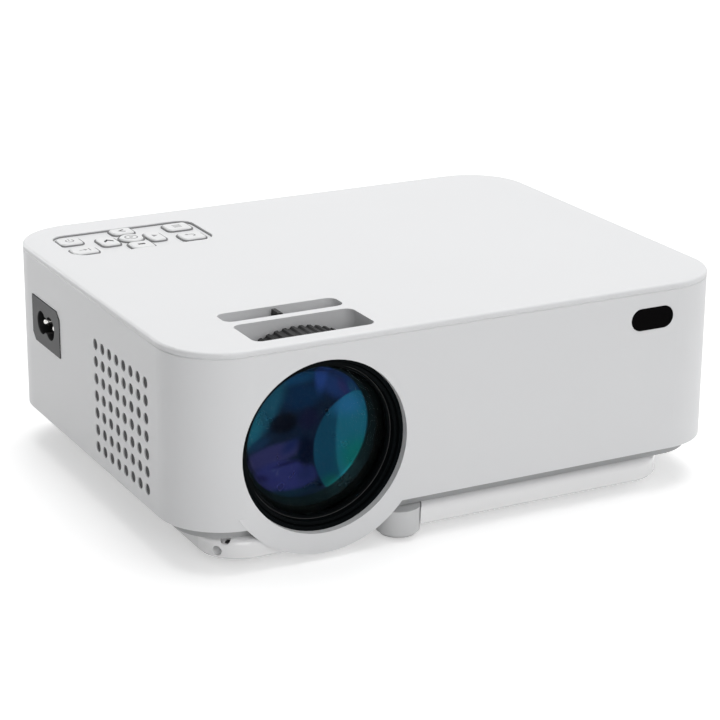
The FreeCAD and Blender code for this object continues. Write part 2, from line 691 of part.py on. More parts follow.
def segment(x, z, radius, half_chord, level):
    """The part of a disc below a level chord."""
    def draw(sketch):
        spots = [V((x + side * half_chord).value, level.value, 0) for side in (-1, 1)]
        chord = sketch.addGeometry(Part.LineSegment(spots[1], spots[0]), False)
        hold(sketch, chord, 1, x + half_chord, level)
        hold(sketch, chord, 2, x - half_chord, level)
        begin = math.atan2(level.value - z.value, -half_chord.value)
        finish_angle = math.atan2(level.value - z.value, half_chord.value)
        ring = Part.Circle(V(x.value, z.value, 0), V(0, 0, 1), radius.value)
        arc = sketch.addGeometry(Part.ArcOfCircle(ring, begin, finish_angle), False)
        sketch.addConstraint(Sketcher.Constraint("Coincident", arc, 1, chord, 2))
        sketch.addConstraint(Sketcher.Constraint("Coincident", arc, 2, chord, 1))
        hold_radius(sketch, arc, radius)
    return draw


def foot_places():
    """Centres of the four rubber feet."""
    x0, x1 = left + pan_left + 13.0, right - pan_right - 13.0
    y0, y1 = front + pan_front + 20.0, back - pan_front - 22.0
    return [(x, y) for x in (x0, x1) for y in (y0, y1)]


def make_underside():
    """Rubber feet, tripod insert, cover screws and the front foot."""
    feet = [rod("z", (x, y, 0), foot_radius, pan_under + 0.5) for x, y in foot_places()]
    finish(group(feet), "rubber_feet")
    turned(
        "tripod_insert",
        [
            (tripod_radius - 0.4, 0), (tripod_radius + 1.8, 0), (tripod_radius + 1.8, pan_height),
            (tripod_radius - 0.4, pan_height),
        ],
        (0, 0, pan_under), "z",
    )
    head = pan_under + 0.3
    screws = [
        union([
            rod("z", (x, y, head), screw_radius + 1.4, 1.9),
            rod("z", (x, y, head + 1.9), screw_radius, deck + 11.0 - head - 1.9),
        ])
        for x, y in posts
    ]
    finish(group(screws), "cover_screws")
    sole_height, sole_radius, pivot_height, pivot = 0.9, knob_radius - 1.3, 1.6, 1.3
    cup_under = knob_rest + sole_height
    cup_height = floor_under - gap - cup_under
    turned(
        "foot_sole",
        [
            (0, 0), (sole_radius, 0), (sole_radius, sole_height), (pivot, sole_height), (pivot, pivot_height),
            (0, pivot_height),
        ],
        (*knob, knob_rest), "z",
    )
    web, edge = 0.9, 0.4
    turned(
        "foot_cup",
        [
            (pivot + fit, 0), (knob_radius - edge, 0), (knob_radius, edge), (knob_radius, cup_height),
            (stud_radius + fit, cup_height), (stud_radius + fit, web), (pivot + fit, web),
        ],
        (*knob, cup_under), "z",
    )
    stud_end = cup_under + web + 0.2
    finish(rod("z", (*knob, stud_end), stud_radius, stud_top - stud_end), "foot_stud")


# ---------------------------------------------------------------- lens and focus ring
def make_lens():
    """Mount, barrel, lenses, retaining ring and the pins that run in the focus tracks."""
    mount = Moulding("lens_mount")
    mount_front = front + wall
    mount.add("XZ", mount_front, mount_back, circle(lens_x, lens_z, sleeve_radius))
    collar = (wheel_back + gap, mount_back)
    mount.add("XZ", *collar, circle(lens_x, lens_z, sleeve_radius + 1.5))
    feet = []
    for side in (-1, 1):
        span = sorted_pair(lens_x + side * 20.0, lens_x + side * 33.0)
        feet.append(rectangle(*span, deck, deck + 12.5))
    mount.add("XZ", *collar, *feet)
    mount.cut("XZ", mount_front - 1, mount_back + 1, circle(lens_x, lens_z, barrel_radius + fit))
    slots = [radial_slot(angle) for angle in PIN_ANGLES]
    mount.body.Label = "lens_mount_tube"
    finished.remove(mount.body)
    finish(without(mount.body, slots), "lens_mount")

    inner = barrel_radius - barrel_wall
    ledge = dim(7.6)
    rear_ledge = barrel_length - 4.0
    rear_inner = barrel_rear_radius - 2.0
    throat = rear_inner - 1.4
    step = barrel_front_length
    barrel = turned(
        "lens_barrel_tube",
        [
            (inner, 0), (barrel_radius - 0.4, 0), (barrel_radius, 0.4), (barrel_radius, step),
            (barrel_rear_radius, step), (barrel_rear_radius, barrel_length), (rear_inner, barrel_length),
            (rear_inner, rear_ledge), (throat, rear_ledge), (throat, step - 1.0), (inner - 2.6, ledge),
            (inner, ledge),
        ],
        (lens_x, barrel_front, lens_z), "y",
    )
    finished.remove(barrel.body)
    pin_base = inner + 0.2
    sockets = [focus_pin(pin_base, angle, 2.0) for angle in PIN_ANGLES]
    finish(without(barrel.body, sockets), "lens_barrel")
    pins = [focus_pin(pin_base, angle, sleeve_radius + 1.75 - pin_base) for angle in PIN_ANGLES]
    finish(group(pins), "focus_pins")
    edge = inner - 0.1
    turned(
        "lens_retaining_ring",
        [(inner - 1.0, 2.0), (edge, 2.0), (edge, 3.15), (inner - 1.2, 3.15)],
        (lens_x, barrel_front, lens_z), "y",
    )
    lens_edge = ledge - 0.4
    front_glass = lens_outline(edge, lens_edge - glass_thick, lens_edge, 100.0, 170.0)
    turned("front_lens", front_glass, (lens_x, barrel_front, lens_z), "y")
    rear_edge = rear_ledge + 0.5
    rear_glass = lens_outline(rear_inner - 0.1, rear_edge, rear_edge + 2.6, 60.0, 90.0)
    turned("rear_lens", rear_glass, (lens_x, barrel_front, lens_z), "y")


def sorted_pair(low, high):
    """Two places in rising order."""
    return (low, high) if low.value < high.value else (high, low)


def placed(piece, centre, corner, rotation):
    """Turns a piece and puts its own origin at corner, measured in the turned frame from centre."""
    piece.Placement.Rotation = rotation
    offset = rotation.multVec(V(*[dim(c).value for c in corner]))
    move(piece, [place + shift for place, shift in zip(centre, offset)])
    return piece


def radial_slot(angle):
    """A straight slot along Y through the mount's tube, for one focus pin."""
    half_width = pin_radius + 0.1
    reach = barrel_travel + pin_radius + pin_play
    low, high = barrel_radius - 1.0, sleeve_radius + 1.0
    slot = block((-half_width, half_width), (-reach, reach), (low, high))
    turn = FreeCAD.Rotation(V(0, 1, 0), 90 - angle)
    return placed(slot, (lens_x, pin_y, lens_z), (-half_width, -reach, low), turn)


def focus_pin(start, angle, length):
    """A pin that stands out from the lens axis at an angle."""
    pin = rod("z", (0, 0, 0), pin_radius, length)
    return placed(pin, (lens_x, pin_y, lens_z), (0, 0, start), FreeCAD.Rotation(V(0, 1, 0), 90 - angle))


def lens_outline(edge, start, end, front_curve, back_curve):
    """A lens bounded by two spherical faces that bulge out from its edge."""
    def draw(sketch):
        radius, low, high = dim(edge), dim(start), dim(end)
        rim_ends = [V(radius.value, level.value) for level in (low, high)]
        rim_line = sketch.addGeometry(Part.LineSegment(*rim_ends), False)
        hold(sketch, rim_line, 1, radius, low)
        hold(sketch, rim_line, 2, radius, high)
        arcs = []
        for level, curve, side in ((low, dim(front_curve), -1), (high, dim(back_curve), 1)):
            depth = root(curve * curve - radius * radius)
            centre = level - depth * side
            apex = centre + curve * side
            start_angle = math.atan2(level.value - centre.value, radius.value)
            ends = sorted((start_angle, side * math.pi / 2))
            ring = Part.Circle(V(0, centre.value, 0), V(0, 0, 1), curve.value)
            arc = sketch.addGeometry(Part.ArcOfCircle(ring, *ends), False)
            hold(sketch, arc, 3, 0, centre)
            vertex = 1 if side > 0 else 2
            rim_end = 2 if side > 0 else 1
            sketch.addConstraint(Sketcher.Constraint("Coincident", arc, vertex, rim_line, rim_end))
            arcs.append((arc, 3 - vertex, apex))
        (low_arc, low_end, low_apex), (high_arc, high_end, high_apex) = arcs
        axis = sketch.addGeometry(Part.LineSegment(V(0, high_apex.value), V(0, low_apex.value)), False)
        sketch.addConstraint(Sketcher.Constraint("Vertical", axis))
        sketch.addConstraint(Sketcher.Constraint("Coincident", axis, 1, high_arc, high_end))
        sketch.addConstraint(Sketcher.Constraint("Coincident", axis, 2, low_arc, low_end))
        sketch.addConstraint(Sketcher.Constraint("PointOnObject", axis, 1, -2))
    return draw


def make_focus_ring():
    """The ridged ring, with three helical tracks inside that drive the barrel's pins."""
    tip, depth = sheet.get("wheel_radius"), sheet.get("tooth_depth")
    teeth, width = int(sheet.get("wheel_teeth")), sheet.get("wheel_width")
    bore = sleeve_radius.value + fit.value
    pitch = 2 * math.pi / teeth
    outline = []
    for tooth in range(teeth):
        for share, radius in ((0.0, tip - depth), (0.28, tip - depth), (0.45, tip), (0.83, tip)):
            angle = pitch * (tooth + share)
            outline.append(V(radius * math.cos(angle), radius * math.sin(angle), 0))
    outline.append(outline[0])
    band = Part.Face(Part.makePolygon(outline)).extrude(V(0, 0, width))
    collar_length = (wheel_front - front - wall - gap).value
    collar = Part.makeCylinder(wheel_collar.value, collar_length + 1.0, V(0, 0, -collar_length))
    ring = band.fuse(collar).cut(Part.makeCylinder(bore, 80.0, V(0, 0, -40.0)))
    lead = sheet.get("helix_lead")
    reach = barrel_travel.value + 0.35
    track_half = pin_radius.value + pin_play.value
    low, high = bore - 0.6, sleeve_radius.value + 2.0
    middle = width / 2
    sweep = 2 * reach / lead * 360.0
    for angle in PIN_ANGLES:
        helix = Part.makeHelix(lead, 2 * reach, bore)
        section = ((low, -track_half), (high, -track_half), (high, track_half), (low, track_half))
        corners_of_track = [V(r, 0, z) for r, z in section]
        profile = Part.makePolygon(corners_of_track + corners_of_track[:1])
        track = Part.Wire(helix).makePipeShell([profile], True, True)
        track.translate(V(0, 0, middle - reach))
        track.rotate(V(0, 0, 0), V(0, 0, 1), -angle - sweep / 2)
        ring = ring.cut(track)
    if not ring.isValid():
        raise RuntimeError("focus_ring: the tracks did not cut")
    piece = doc.addObject("Part::Feature", "focus_ring")
    piece.Shape = ring
    piece.Placement = FreeCAD.Placement(V(0, 0, 0), FreeCAD.Rotation(*TURN["y"]))
    move(piece, (lens_x, wheel_front, lens_z))
    finish(piece, "focus_ring")


# ---------------------------------------------------------------- mirror and keystone slider
def cam_place():
    """The cam pin above the mirror's axis, at rest."""
    shift = cam_offset / math.sqrt(2)
    return lens_x - shift, mirror_y - shift


def slider_outline_y():
    """Front and back edges of the keystone slider."""
    return key_slot[0] - 0.9, cam_place()[1] + 6.0


def make_keystone_slider():
    """The slider: a nub in the rear slot, a stem, and a bar with the inclined cam slot."""
    slider = Moulding("keystone_slider")
    x, y = cam_place()
    share = cam_ratio / math.sqrt(2)
    length = root((dim(1) - share) * (dim(1) - share) + share * share)
    along = (-(dim(1) - share) / length, -share / length)
    half_width = pin_radius + pin_play
    first = -slide_left * length - half_width
    last = slide_right * length + half_width
    y_front, y_back = slider_outline_y()
    nub_x = slot_x[0] + nub_rest
    nub_y = (key_slot[0] + key_slot[1]) / 2
    bar = (x - slide_right - 1.8, x + slide_left + 2.2)
    outline = polygon(
        (nub_x - 9.0, y_front), (nub_x + 6.0, y_front), (nub_x + 6.0, y - 6.0), (bar[1], y - 6.0),
        (bar[1], y_back), (bar[0], y_back), (bar[0], y - 6.0), (nub_x - 9.0, y - 6.0),
    )
    slider.add("XY", slider_under, slider_top, outline)
    slot = [
        (x + along[0] * reach - along[1] * across, y + along[1] * reach + along[0] * across)
        for reach, across in (
            (first, -half_width), (last, -half_width), (last, half_width), (first, half_width),
        )
    ]
    slider.cut("XY", slider_top, slider_under, polygon(*slot))
    tip, nub_half = top - 0.2, 2.4
    fin = polygon(
        (nub_x - nub_half, slider_top), (nub_x + nub_half, slider_top), (nub_x + nub_half, tip - 4.0),
        (nub_x - 0.4, tip), (nub_x - nub_half + 0.6, tip),
    )
    slider.add("XZ", nub_y - 2.6, nub_y + 2.6, fin)


def make_mirror():
    """Mirror, its frame with trunnions and the cam pin, and the bracket that carries them at 45 degrees."""
    half_length, half_height, half_glass = mirror_length / 2, mirror_height / 2, mirror_glass / 2
    ear = (half_length + 0.4, half_length + 2.4)
    upright = (ear[1] + 0.8, ear[1] + 2.8)
    axle = 2.0

    glass = Moulding("mirror")
    low, high = lens_z - half_height, lens_z + half_height
    glass.add("XZ", -half_glass, half_glass, rectangle(-half_length, half_length, low, high))

    frame = Moulding("mirror_frame")
    rear = (half_glass, half_glass + 2.0)
    frame.add("XZ", *rear, rectangle(-half_length - 1.0, half_length + 1.0, low - 1.0, high + 1.0))
    ears = [rectangle(side * ear[0], side * ear[1], lens_z - 4.0, lens_z + 4.0) for side in (dim(-1), dim(1))]
    frame.add("XZ", -2.0, rear[1], *ears)
    frame.add("YZ", ear[1] - 0.5, upright[1] + 1.2, circle(0, lens_z, axle))
    frame.add("YZ", -ear[1] + 0.5, -upright[1] - 1.2, circle(0, lens_z, axle))
    shelf = slider_under - 0.9
    frame.add("XZ", *rear, rectangle(-cam_offset - 3.0, -cam_offset + 3.0, high, shelf))
    frame.add("XZ", -2.0, rear[1], rectangle(-cam_offset - 3.0, -cam_offset + 3.0, shelf - 1.4, shelf))
    frame.add("XY", shelf, slider_top + 0.7, circle(-cam_offset, 0, pin_radius))

    bracket = Moulding("mirror_bracket")
    bracket.add("XY", deck, deck + 1.6, rectangle(-upright[1], upright[1], -6.0, 6.0))
    for side in (1, -1):
        bracket.add("YZ", upright[0] * side, upright[1] * side, rectangle(-5.0, 5.0, deck, lens_z + 5.5))
    bracket.cut("YZ", -upright[1] - 1, upright[1] + 1, circle(0, lens_z, axle + fit))

    for piece in (glass, frame, bracket):
        piece.body.Placement.Rotation = FreeCAD.Rotation(V(0, 0, 1), 45)
        move(piece.body, (lens_x, mirror_y, 0))


# ---------------------------------------------------------------- light engine
def make_light_engine():
    """Tunnel with its plates and condenser, LED board, heat sink, fan and rotor."""
    inner = tunnel_half - tunnel_wall
    floor = deck + 1.6
    wall_x = (tunnel_x + 44.0, tunnel_x + 47.0)
    plates = {"field": (5.0, 2.0), "lcd": (12.0, 3.0), "collimator": (22.0, 2.0)}
    across = (mirror_y - inner, mirror_y + inner)
    tools = [
        block((tunnel_x - 1, wall_x[0]), across, (floor, tunnel_top + 1)),
        block((wall_x[1], tunnel_end + 1), across, (floor, tunnel_top + 1)),
        rod("x", (wall_x[0] - 1, mirror_y, lens_z), 19.0, 6.0),
        rod("x", (wall_x[1] - 1.5, mirror_y, lens_z), 20.1, 3.0),
    ]
    wide = (mirror_y - inner - groove, mirror_y + inner + groove)
    for start, thick in plates.values():
        span = (tunnel_x + start - 0.1, tunnel_x + start + thick + 0.1)
        tools.append(block(span, wide, (floor, tunnel_top + 1)))
    across = (mirror_y - tunnel_half, mirror_y + tunnel_half)
    trough = block((tunnel_x, tunnel_end), across, (deck, tunnel_top))
    finish(without(trough, tools), "light_tunnel")

    slim = (wide[0] + 0.1, wide[1] - 0.1)
    tall = (floor, tunnel_top - 0.2)
    sheets = [
        block((tunnel_x + plates[name][0], tunnel_x + plates[name][0] + plates[name][1]), slim, tall)
        for name in ("field", "collimator")
    ]
    finish(group(sheets), "fresnel_plates")
    panel = Moulding("lcd_panel")
    start, thick = plates["lcd"]
    panel_x = (tunnel_x + start, tunnel_x + start + thick)
    panel.add("YZ", *panel_x, rectangle(slim[0], slim[1], *tall))
    image = rectangle(mirror_y - 31.3, mirror_y + 31.3, lens_z - 17.6, lens_z + 17.6)
    panel.cut("YZ", panel_x[0], panel_x[0] + 0.8, image)
    panel.cut("YZ", panel_x[1], panel_x[1] - 0.8, image)
    condenser = lens_outline(20.0, 0.2, 2.7, 120.0, 30.0)
    turned("condenser_lens", condenser, (wall_x[1] - 1.5, mirror_y, lens_z), "x")

    board = block((tunnel_end - 1.6, tunnel_end), (mirror_y - 18, mirror_y + 18), (lens_z - 18, lens_z + 18))
    chip = block((tunnel_end - 2.6, tunnel_end - 1.6), (mirror_y - 6, mirror_y + 6), (lens_z - 6, lens_z + 6))
    finish(union([board, chip]), "led_board")

    base = (tunnel_end, tunnel_end + 4.0)
    fin = 1.2
    count = int(fin_count.value)
    step = (tunnel_half * 2 - fin) / (count - 1)
    pieces = [block(base, (mirror_y - tunnel_half, mirror_y + tunnel_half), (deck, tunnel_top))]
    for number in range(count):
        y = mirror_y - tunnel_half + step * number
        pieces.append(block((base[0] + 2.0, base[1] + fin_length), (y, y + fin), (deck + 3.0, tunnel_top)))
    finish(union(pieces), "heat_sink")


def make_fan():
    """Axial fan against the right-hand louvres."""
    half = fan_width / 2
    outlet = right - wall
    inlet_face = outlet - fan_depth
    centre_y, centre_z = mirror_y, lens_z
    web = 1.6
    hub, shaft = 8.0, 1.0
    frame_y, frame_z = [(centre - half, centre + half) for centre in (centre_y, centre_z)]
    frame = block((inlet_face, outlet), frame_y, frame_z)
    holes = [rod("x", (inlet_face - 1, centre_y, centre_z), half - 1.2, fan_depth + 2)]
    for y, z in ((-1, -1), (-1, 1), (1, -1), (1, 1)):
        place = (inlet_face - 1, centre_y + (half - 3.6) * y, centre_z + (half - 3.6) * z)
        holes.append(rod("x", place, 1.7, fan_depth + 2))
    spider = [
        without(frame, holes),
        rod("x", (outlet - web, centre_y, centre_z), hub, web),
        block((outlet - web, outlet), (frame_y[0] + 1, frame_y[1] - 1), (centre_z - 1.2, centre_z + 1.2)),
        block((outlet - web, outlet), (centre_y - 1.2, centre_y + 1.2), (frame_z[0] + 1, frame_z[1] - 1)),
    ]
    bore = rod("x", (outlet - web - 1, centre_y, centre_z), shaft + fit, web + 2)
    finish(without(union(spider), [bore]), "fan_frame")

    root_radius, tip_radius = hub - 0.5, half - 2.0
    chord, thick = 6.0, 1.1
    middle = inlet_face + 4.3
    pieces = [
        rod("x", (inlet_face + 0.8, centre_y, centre_z), hub, outlet - web - 0.4 - inlet_face - 0.8),
        rod("x", (outlet - web - 1.0, centre_y, centre_z), shaft, web + 0.8),
    ]
    for number in range(7):
        blade = block((0, chord), (0, thick), (0, tip_radius - root_radius))
        turn = FreeCAD.Rotation(V(1, 0, 0), number * 360 / 7) * FreeCAD.Rotation(V(0, 0, 1), 42)
        placed(blade, (middle, centre_y, centre_z), (-chord / 2, -thick / 2, root_radius), turn)
        pieces.append(blade)
    finish(union(pieces), "fan_rotor")


# ---------------------------------------------------------------- disc drive
def drive_sides():
    """Heights inside the drive: tray, runner and rail."""
    low, high = drive_under + drive_sheet + 0.2, drive_top - drive_sheet - 0.4
    runner = (drive_under + 2.6, drive_under + 5.2)
    return (low, high), runner


ear_top = drive_top - 4.2


def make_disc_drive():
    """Case, fixed rails, runners, and the tray with its bezel, spindle and pickup."""
    half = drive_width / 2
    side_wall = 0.8
    (tray_low, tray_high), runner = drive_sides()
    xs = (drive_left, drive_right)
    shell = block(xs, (-half, half), (drive_under, drive_top))
    hollow = block(
        (drive_left + side_wall, drive_right + 1), (-half + side_wall, half - side_wall),
        (drive_under + drive_sheet, drive_top - drive_sheet),
    )
    ears = []
    for x, side in drive_ears:
        reach = sorted_pair(side * (half - 0.1), side * (half + 6.0))
        ears.append(block((x - 4.0, x + 4.0), reach, (ear_top - 0.8, ear_top)))
    finish(union([without(shell, [hollow])] + ears), "dvd_case")

    inner = half - side_wall
    rails, runners = [], []
    back_thick, lip = 0.5, 1.6
    for side in (-1, 1):
        spans = [sorted_pair(side * (inner - depth), side * inner) for depth in (lip, back_thick)]
        rail = block((drive_left + 1.0, drive_right - 0.5), spans[0], (runner[0] - 0.7, runner[1] + 0.7))
        inside = sorted_pair(side * (inner - lip - 1), side * (inner - back_thick))
        channel = block((drive_left, drive_right), inside, (runner[0] - 0.2, runner[1] + 0.2))
        rails.append(without(rail, [channel]))
        span = sorted_pair(side * (inner - 2.3), side * (inner - back_thick - 0.1))
        runners.append(block((drive_left + 2.0, drive_right - 1.5), span, runner))
    finish(group(rails), "dvd_rails")
    finish(group(runners), "dvd_runners")
    make_tray(inner - lip - 0.2, tray_low, tray_high, runner)


def make_tray(tray_half, tray_low, tray_high, runner):
    """The drawer: disc recess, pickup window, ribs beneath, and everything that rides on it."""
    tray_left = drive_left + 1.7
    face = right - bezel_depth
    motor = 11.4
    tray = Moulding("dvd_tray")
    tray.add("XY", tray_low, tray_high, rounded(tray_left, face, -tray_half, tray_half, 1.5))
    tray.cut("XY", tray_high, tray_high - disc_depth, circle(disc_x, 0, disc_radius))
    window = (tray_left + 1.1, disc_x - motor - 0.4)
    tray.cut("XY", tray_high, tray_low, rectangle(*window, -16.0, 16.0))
    tray.cut("XY", tray_high, tray_low, circle(disc_x, 0, motor + 0.1))
    depth = tray_low + 4.0
    rim_wall, spine = 4.0, 22.0
    hollow_spans = ((-tray_half + rim_wall, -spine), (spine, tray_half - rim_wall))
    hollows = [rectangle(tray_left + rim_wall, face - rim_wall, *span) for span in hollow_spans]
    tray.cut("XY", tray_low, depth, *hollows)
    for side in (dim(-1), dim(1)):
        slot = rectangle(side * (tray_half - 0.8), side * (tray_half + 1), runner[0] - 0.2, runner[1] + 0.2)
        tray.cut("YZ", tray_left - 1, face - 1.0, slot)
    rods_y, rod_radius, rod_z = 12.5, 1.0, tray_low + 2.1
    bores = [circle(side * rods_y, rod_z, rod_radius) for side in (-1, 1)]
    tray.cut("YZ", tray_left, window[1] + 1.5, *bores)

    rods = [
        rod("x", (tray_left + 0.1, side * rods_y, rod_z), rod_radius, window[1] + 1.4 - tray_left - 0.1)
        for side in (-1, 1)
    ]
    finish(group(rods), "pickup_rods")
    sled_right = window[1] - 0.3
    sled = Moulding("pickup_sled")
    sled.add("XY", tray_low + 0.6, tray_low + 4.0, rectangle(sled_right - 14.0, sled_right, -15.0, 15.0))
    sled.add("XY", tray_low + 4.0, tray_low + 4.9, circle(sled_right - 4.5, 0, 3.2))
    sled.cut("XY", tray_low + 0.6, tray_low + 2.0, rectangle(sled_right - 11.5, sled_right - 2.5, -9.0, 9.0))
    sled_bores = [circle(side * rods_y, rod_z, rod_radius + 0.06) for side in (-1, 1)]
    sled.cut("YZ", sled_right - 15.0, sled_right + 1, *sled_bores)

    shaft = 1.0
    disc_seat = drive_height - disc_depth - 1.4
    motor_top = disc_seat - 2.3
    turned(
        "spindle_motor",
        [
            (shaft + 0.05, 0), (motor, 0), (motor, motor_top - 0.8), (motor - 2.0, motor_top),
            (shaft + 0.05, motor_top),
        ],
        (disc_x, 0, tray_low + 0.3), "z",
    )
    hub_radius, hub_under, snout, snout_top = 10.6, disc_seat - 0.9, 7.3, disc_seat + 1.9
    turned(
        "spindle_hub",
        [
            (0, 0.6), (shaft, 0.6), (shaft, hub_under), (hub_radius, hub_under), (hub_radius, disc_seat),
            (snout, disc_seat), (snout, disc_seat + 1.3), (snout - 0.9, snout_top), (0, snout_top),
        ],
        (disc_x, 0, tray_low + 0.1), "z",
    )

    bezel_half = drive_width / 2 + 0.5
    bezel = Moulding("dvd_bezel")
    bezel.add("XY", drive_under, rim - gap, casing(0))
    bezel.cut("XY", drive_under, rim, rectangle(left - 1, face, front - 1, back + 1))
    beyond = ((front - 1, -bezel_half), (bezel_half, back + 1))
    ends = [rectangle(face - 5.0, right + 1, *span) for span in beyond]
    bezel.cut("XY", drive_under, rim, *ends)
    middle = (drive_under + rim) / 2
    key_y = -38.0
    half_wide, half_high, play = 5.0, 1.8, 0.2
    hole_wide, hole_high = half_wide + play, half_high + play
    opening = rectangle(key_y - hole_wide, key_y + hole_wide, middle - hole_high, middle + hole_high)
    bezel.cut("YZ", right + 1, face, opening)
    bezel.cut("YZ", right + 1, face, circle(key_y + 14.0, middle, 0.6))
    button = Moulding("eject_button")
    outline = rounded(key_y - half_wide, key_y + half_wide, middle - half_high, middle + half_high, 0.8)
    button.add("YZ", face + 0.8, right + 0.35, outline)


# ---------------------------------------------------------------- keypad
def key_outline(key, grow):
    """A key's outline in plan, grown by a margin."""
    label, x, y, wide, deep = key
    x, y = keypad[0] + x, keypad[1] + y
    if deep is None:
        return circle(x, y, wide / 2 + grow)
    half_wide, half_deep = wide / 2 + grow, deep / 2 + grow
    return rounded(x - half_wide, x + half_wide, y - half_deep, y + half_deep, dim(1.6) + grow)


def make_keypad():
    """Nine keys, each a cap with a flange under the cover, and the board with their switches."""
    flange_top = under - gap
    flange_under = flange_top - 1.0
    for key in KEYS:
        piece = Moulding(key[0])
        piece.add("XY", flange_under, flange_top, key_outline(key, key_rim))
        piece.add("XY", flange_top, top + key_proud, key_outline(key, 0))
        piece.soften("Chamfer", dim(0.4), level_edge(top + key_proud))
    switches = []
    for label, x, y, wide, deep in KEYS:
        x, y = keypad[0] + x, keypad[1] + y
        switches.append(block((x - 2.3, x + 2.3), (y - 2.3, y + 2.3), (board_top, board_top + 1.5)))
        stem = flange_under - key_travel - 0.05 - board_top
        switches.append(rod("z", (x, y, board_top), 1.5, stem))
    span_x, span_y = (keypad[0] - 32.0, keypad[0] + 32.0), (keypad[1] - 12.6, keypad[1] + 12.6)
    finish(union([block(span_x, span_y, (board_top - 1.6, board_top))] + switches), "keypad_board")


# ---------------------------------------------------------------- ports, boards and small parts
PORTS = {"hdmi": 60.0, "usb": 82.0, "jack_audio": 100.0, "jack_video": 114.0}
port_z = deck + 12.0
board_face = back - 14.4


def port_outlines(grow):
    """Outlines of the rear ports on the back wall."""
    hdmi, usb = right - PORTS["hdmi"], right - PORTS["usb"]
    jacks = [circle(right - PORTS[name], port_z, 3.9 + grow) for name in ("jack_audio", "jack_video")]
    return [
        rectangle(hdmi - 7.5 - grow, hdmi + 7.5 + grow, port_z - 2.8 - grow, port_z + 2.8 + grow),
        rectangle(usb - 6.6 - grow, usb + 6.6 + grow, port_z - 2.9 - grow, port_z + 2.9 + grow),
    ] + jacks


def make_ports():
    """HDMI and USB sockets and the two 3.5 mm jacks, all on the main board."""
    x = right - PORTS["hdmi"]
    hdmi = Moulding("hdmi_port")
    outer = polygon(
        (x - 7.5, port_z + 2.8), (x - 7.5, port_z - 0.8), (x - 5.6, port_z - 2.8), (x + 5.6, port_z - 2.8),
        (x + 7.5, port_z - 0.8), (x + 7.5, port_z + 2.8),
    )
    inner = polygon(
        (x - 6.9, port_z + 2.2), (x - 6.9, port_z - 0.6), (x - 5.3, port_z - 2.2), (x + 5.3, port_z - 2.2),
        (x + 6.9, port_z - 0.6), (x + 6.9, port_z + 2.2),
    )
    hdmi.add("XZ", board_face, back, outer)
    hdmi.cut("XZ", back, back - 11.0, inner)
    hdmi.add("XZ", back - 11.5, back - 1.5, rectangle(x - 5.2, x + 5.2, port_z - 0.7, port_z + 0.7))

    x = right - PORTS["usb"]
    usb = Moulding("usb_port")
    usb.add("XZ", board_face, back, rectangle(x - 6.6, x + 6.6, port_z - 2.9, port_z + 2.9))
    usb.cut("XZ", back, back - 11.0, rectangle(x - 6.1, x + 6.1, port_z - 2.4, port_z + 2.4))
    usb.add("XZ", back - 11.5, back - 1.2, rectangle(x - 5.5, x + 5.5, port_z + 0.2, port_z + 2.0))

    jacks = []
    for name in ("jack_audio", "jack_video"):
        x = right - PORTS[name]
        body = block((x - 5.5, x + 5.5), (board_face, back - wall - 0.3), (port_z - 5.0, port_z + 5.0))
        nose = rod("y", (x, back - wall - 1.0, port_z), 3.9, wall + 1.2)
        bore = rod("y", (x, board_face + 2.0, port_z), 1.8, 20.0)
        jacks.append(without(union([body, nose]), [bore]))
    finish(group(jacks), "av_jacks")


def driver_board_place():
    """Plan of the driver board."""
    return left + 94.0, right - 16.0, front + 14.5, front + 52.5


def power_board_place():
    """Plan of the power board."""
    return left + 6.0, left + 48.0, back - 47.5, back - 14.5


def corners(place, inset):
    """Four points inside the corners of a rectangle."""
    x0, x1, y0, y1 = place
    return [(x, y) for x in (x0 + inset, x1 - inset) for y in (y0 + inset, y1 - inset)]


def make_boards():
    """Power board, driver board and the upright main board."""
    level = deck + 5.2
    face = level + 1.6
    x0, x1, y0, y1 = power_board_place()
    power = [
        block((x0, x1), (y0, y1), (level, face)),
        block((x0 + 6.0, x0 + 26.0), (y0 + 7.0, y0 + 25.0), (face, face + 16.0)),
        rod("z", (x1 - 8.0, y1 - 9.0, face), 6.0, 18.0),
        rod("z", (x1 - 8.0, y0 + 7.0, face), 3.5, 11.0),
        block((x0 + 30.0, x0 + 32.0), (y0 + 8.0, y0 + 22.0), (face, face + 14.0)),
    ]
    finish(union(power), "power_board")

    x0, x1, y0, y1 = driver_board_place()
    driver = [
        block((x0, x1), (y0, y1), (level, face)),
        block((x0 + 12.0, x0 + 26.0), (y0 + 12.0, y0 + 26.0), (face, face + 1.6)),
        block((x0 + 36.0, x0 + 46.0), (y0 + 8.0, y0 + 18.0), (face, face + 1.4)),
        block((x0 + 56.0, x0 + 66.0), (y0 + 18.0, y0 + 28.0), (face, face + 5.0)),
    ]
    driver += [rod("z", (x1 - 10.0, y0 + 9.0 + 10.0 * step, face), 4.0, 10.0) for step in range(3)]
    finish(union(driver), "driver_board")

    x0, x1 = left + 56.0, right - 36.0
    main_face = board_face - 1.6
    main = [
        block((x0, x1), (main_face, board_face), (deck, deck + 45.0)),
        block((x0 + 24.0, x0 + 40.0), (main_face - 2.2, main_face), (deck + 18.0, deck + 34.0)),
        block((x0 + 52.0, x0 + 62.0), (main_face - 1.2, main_face), (deck + 22.0, deck + 30.0)),
        block((x0 + 76.0, x0 + 86.0), (main_face - 1.2, main_face), (deck + 22.0, deck + 30.0)),
    ]
    finish(union(main), "main_board")


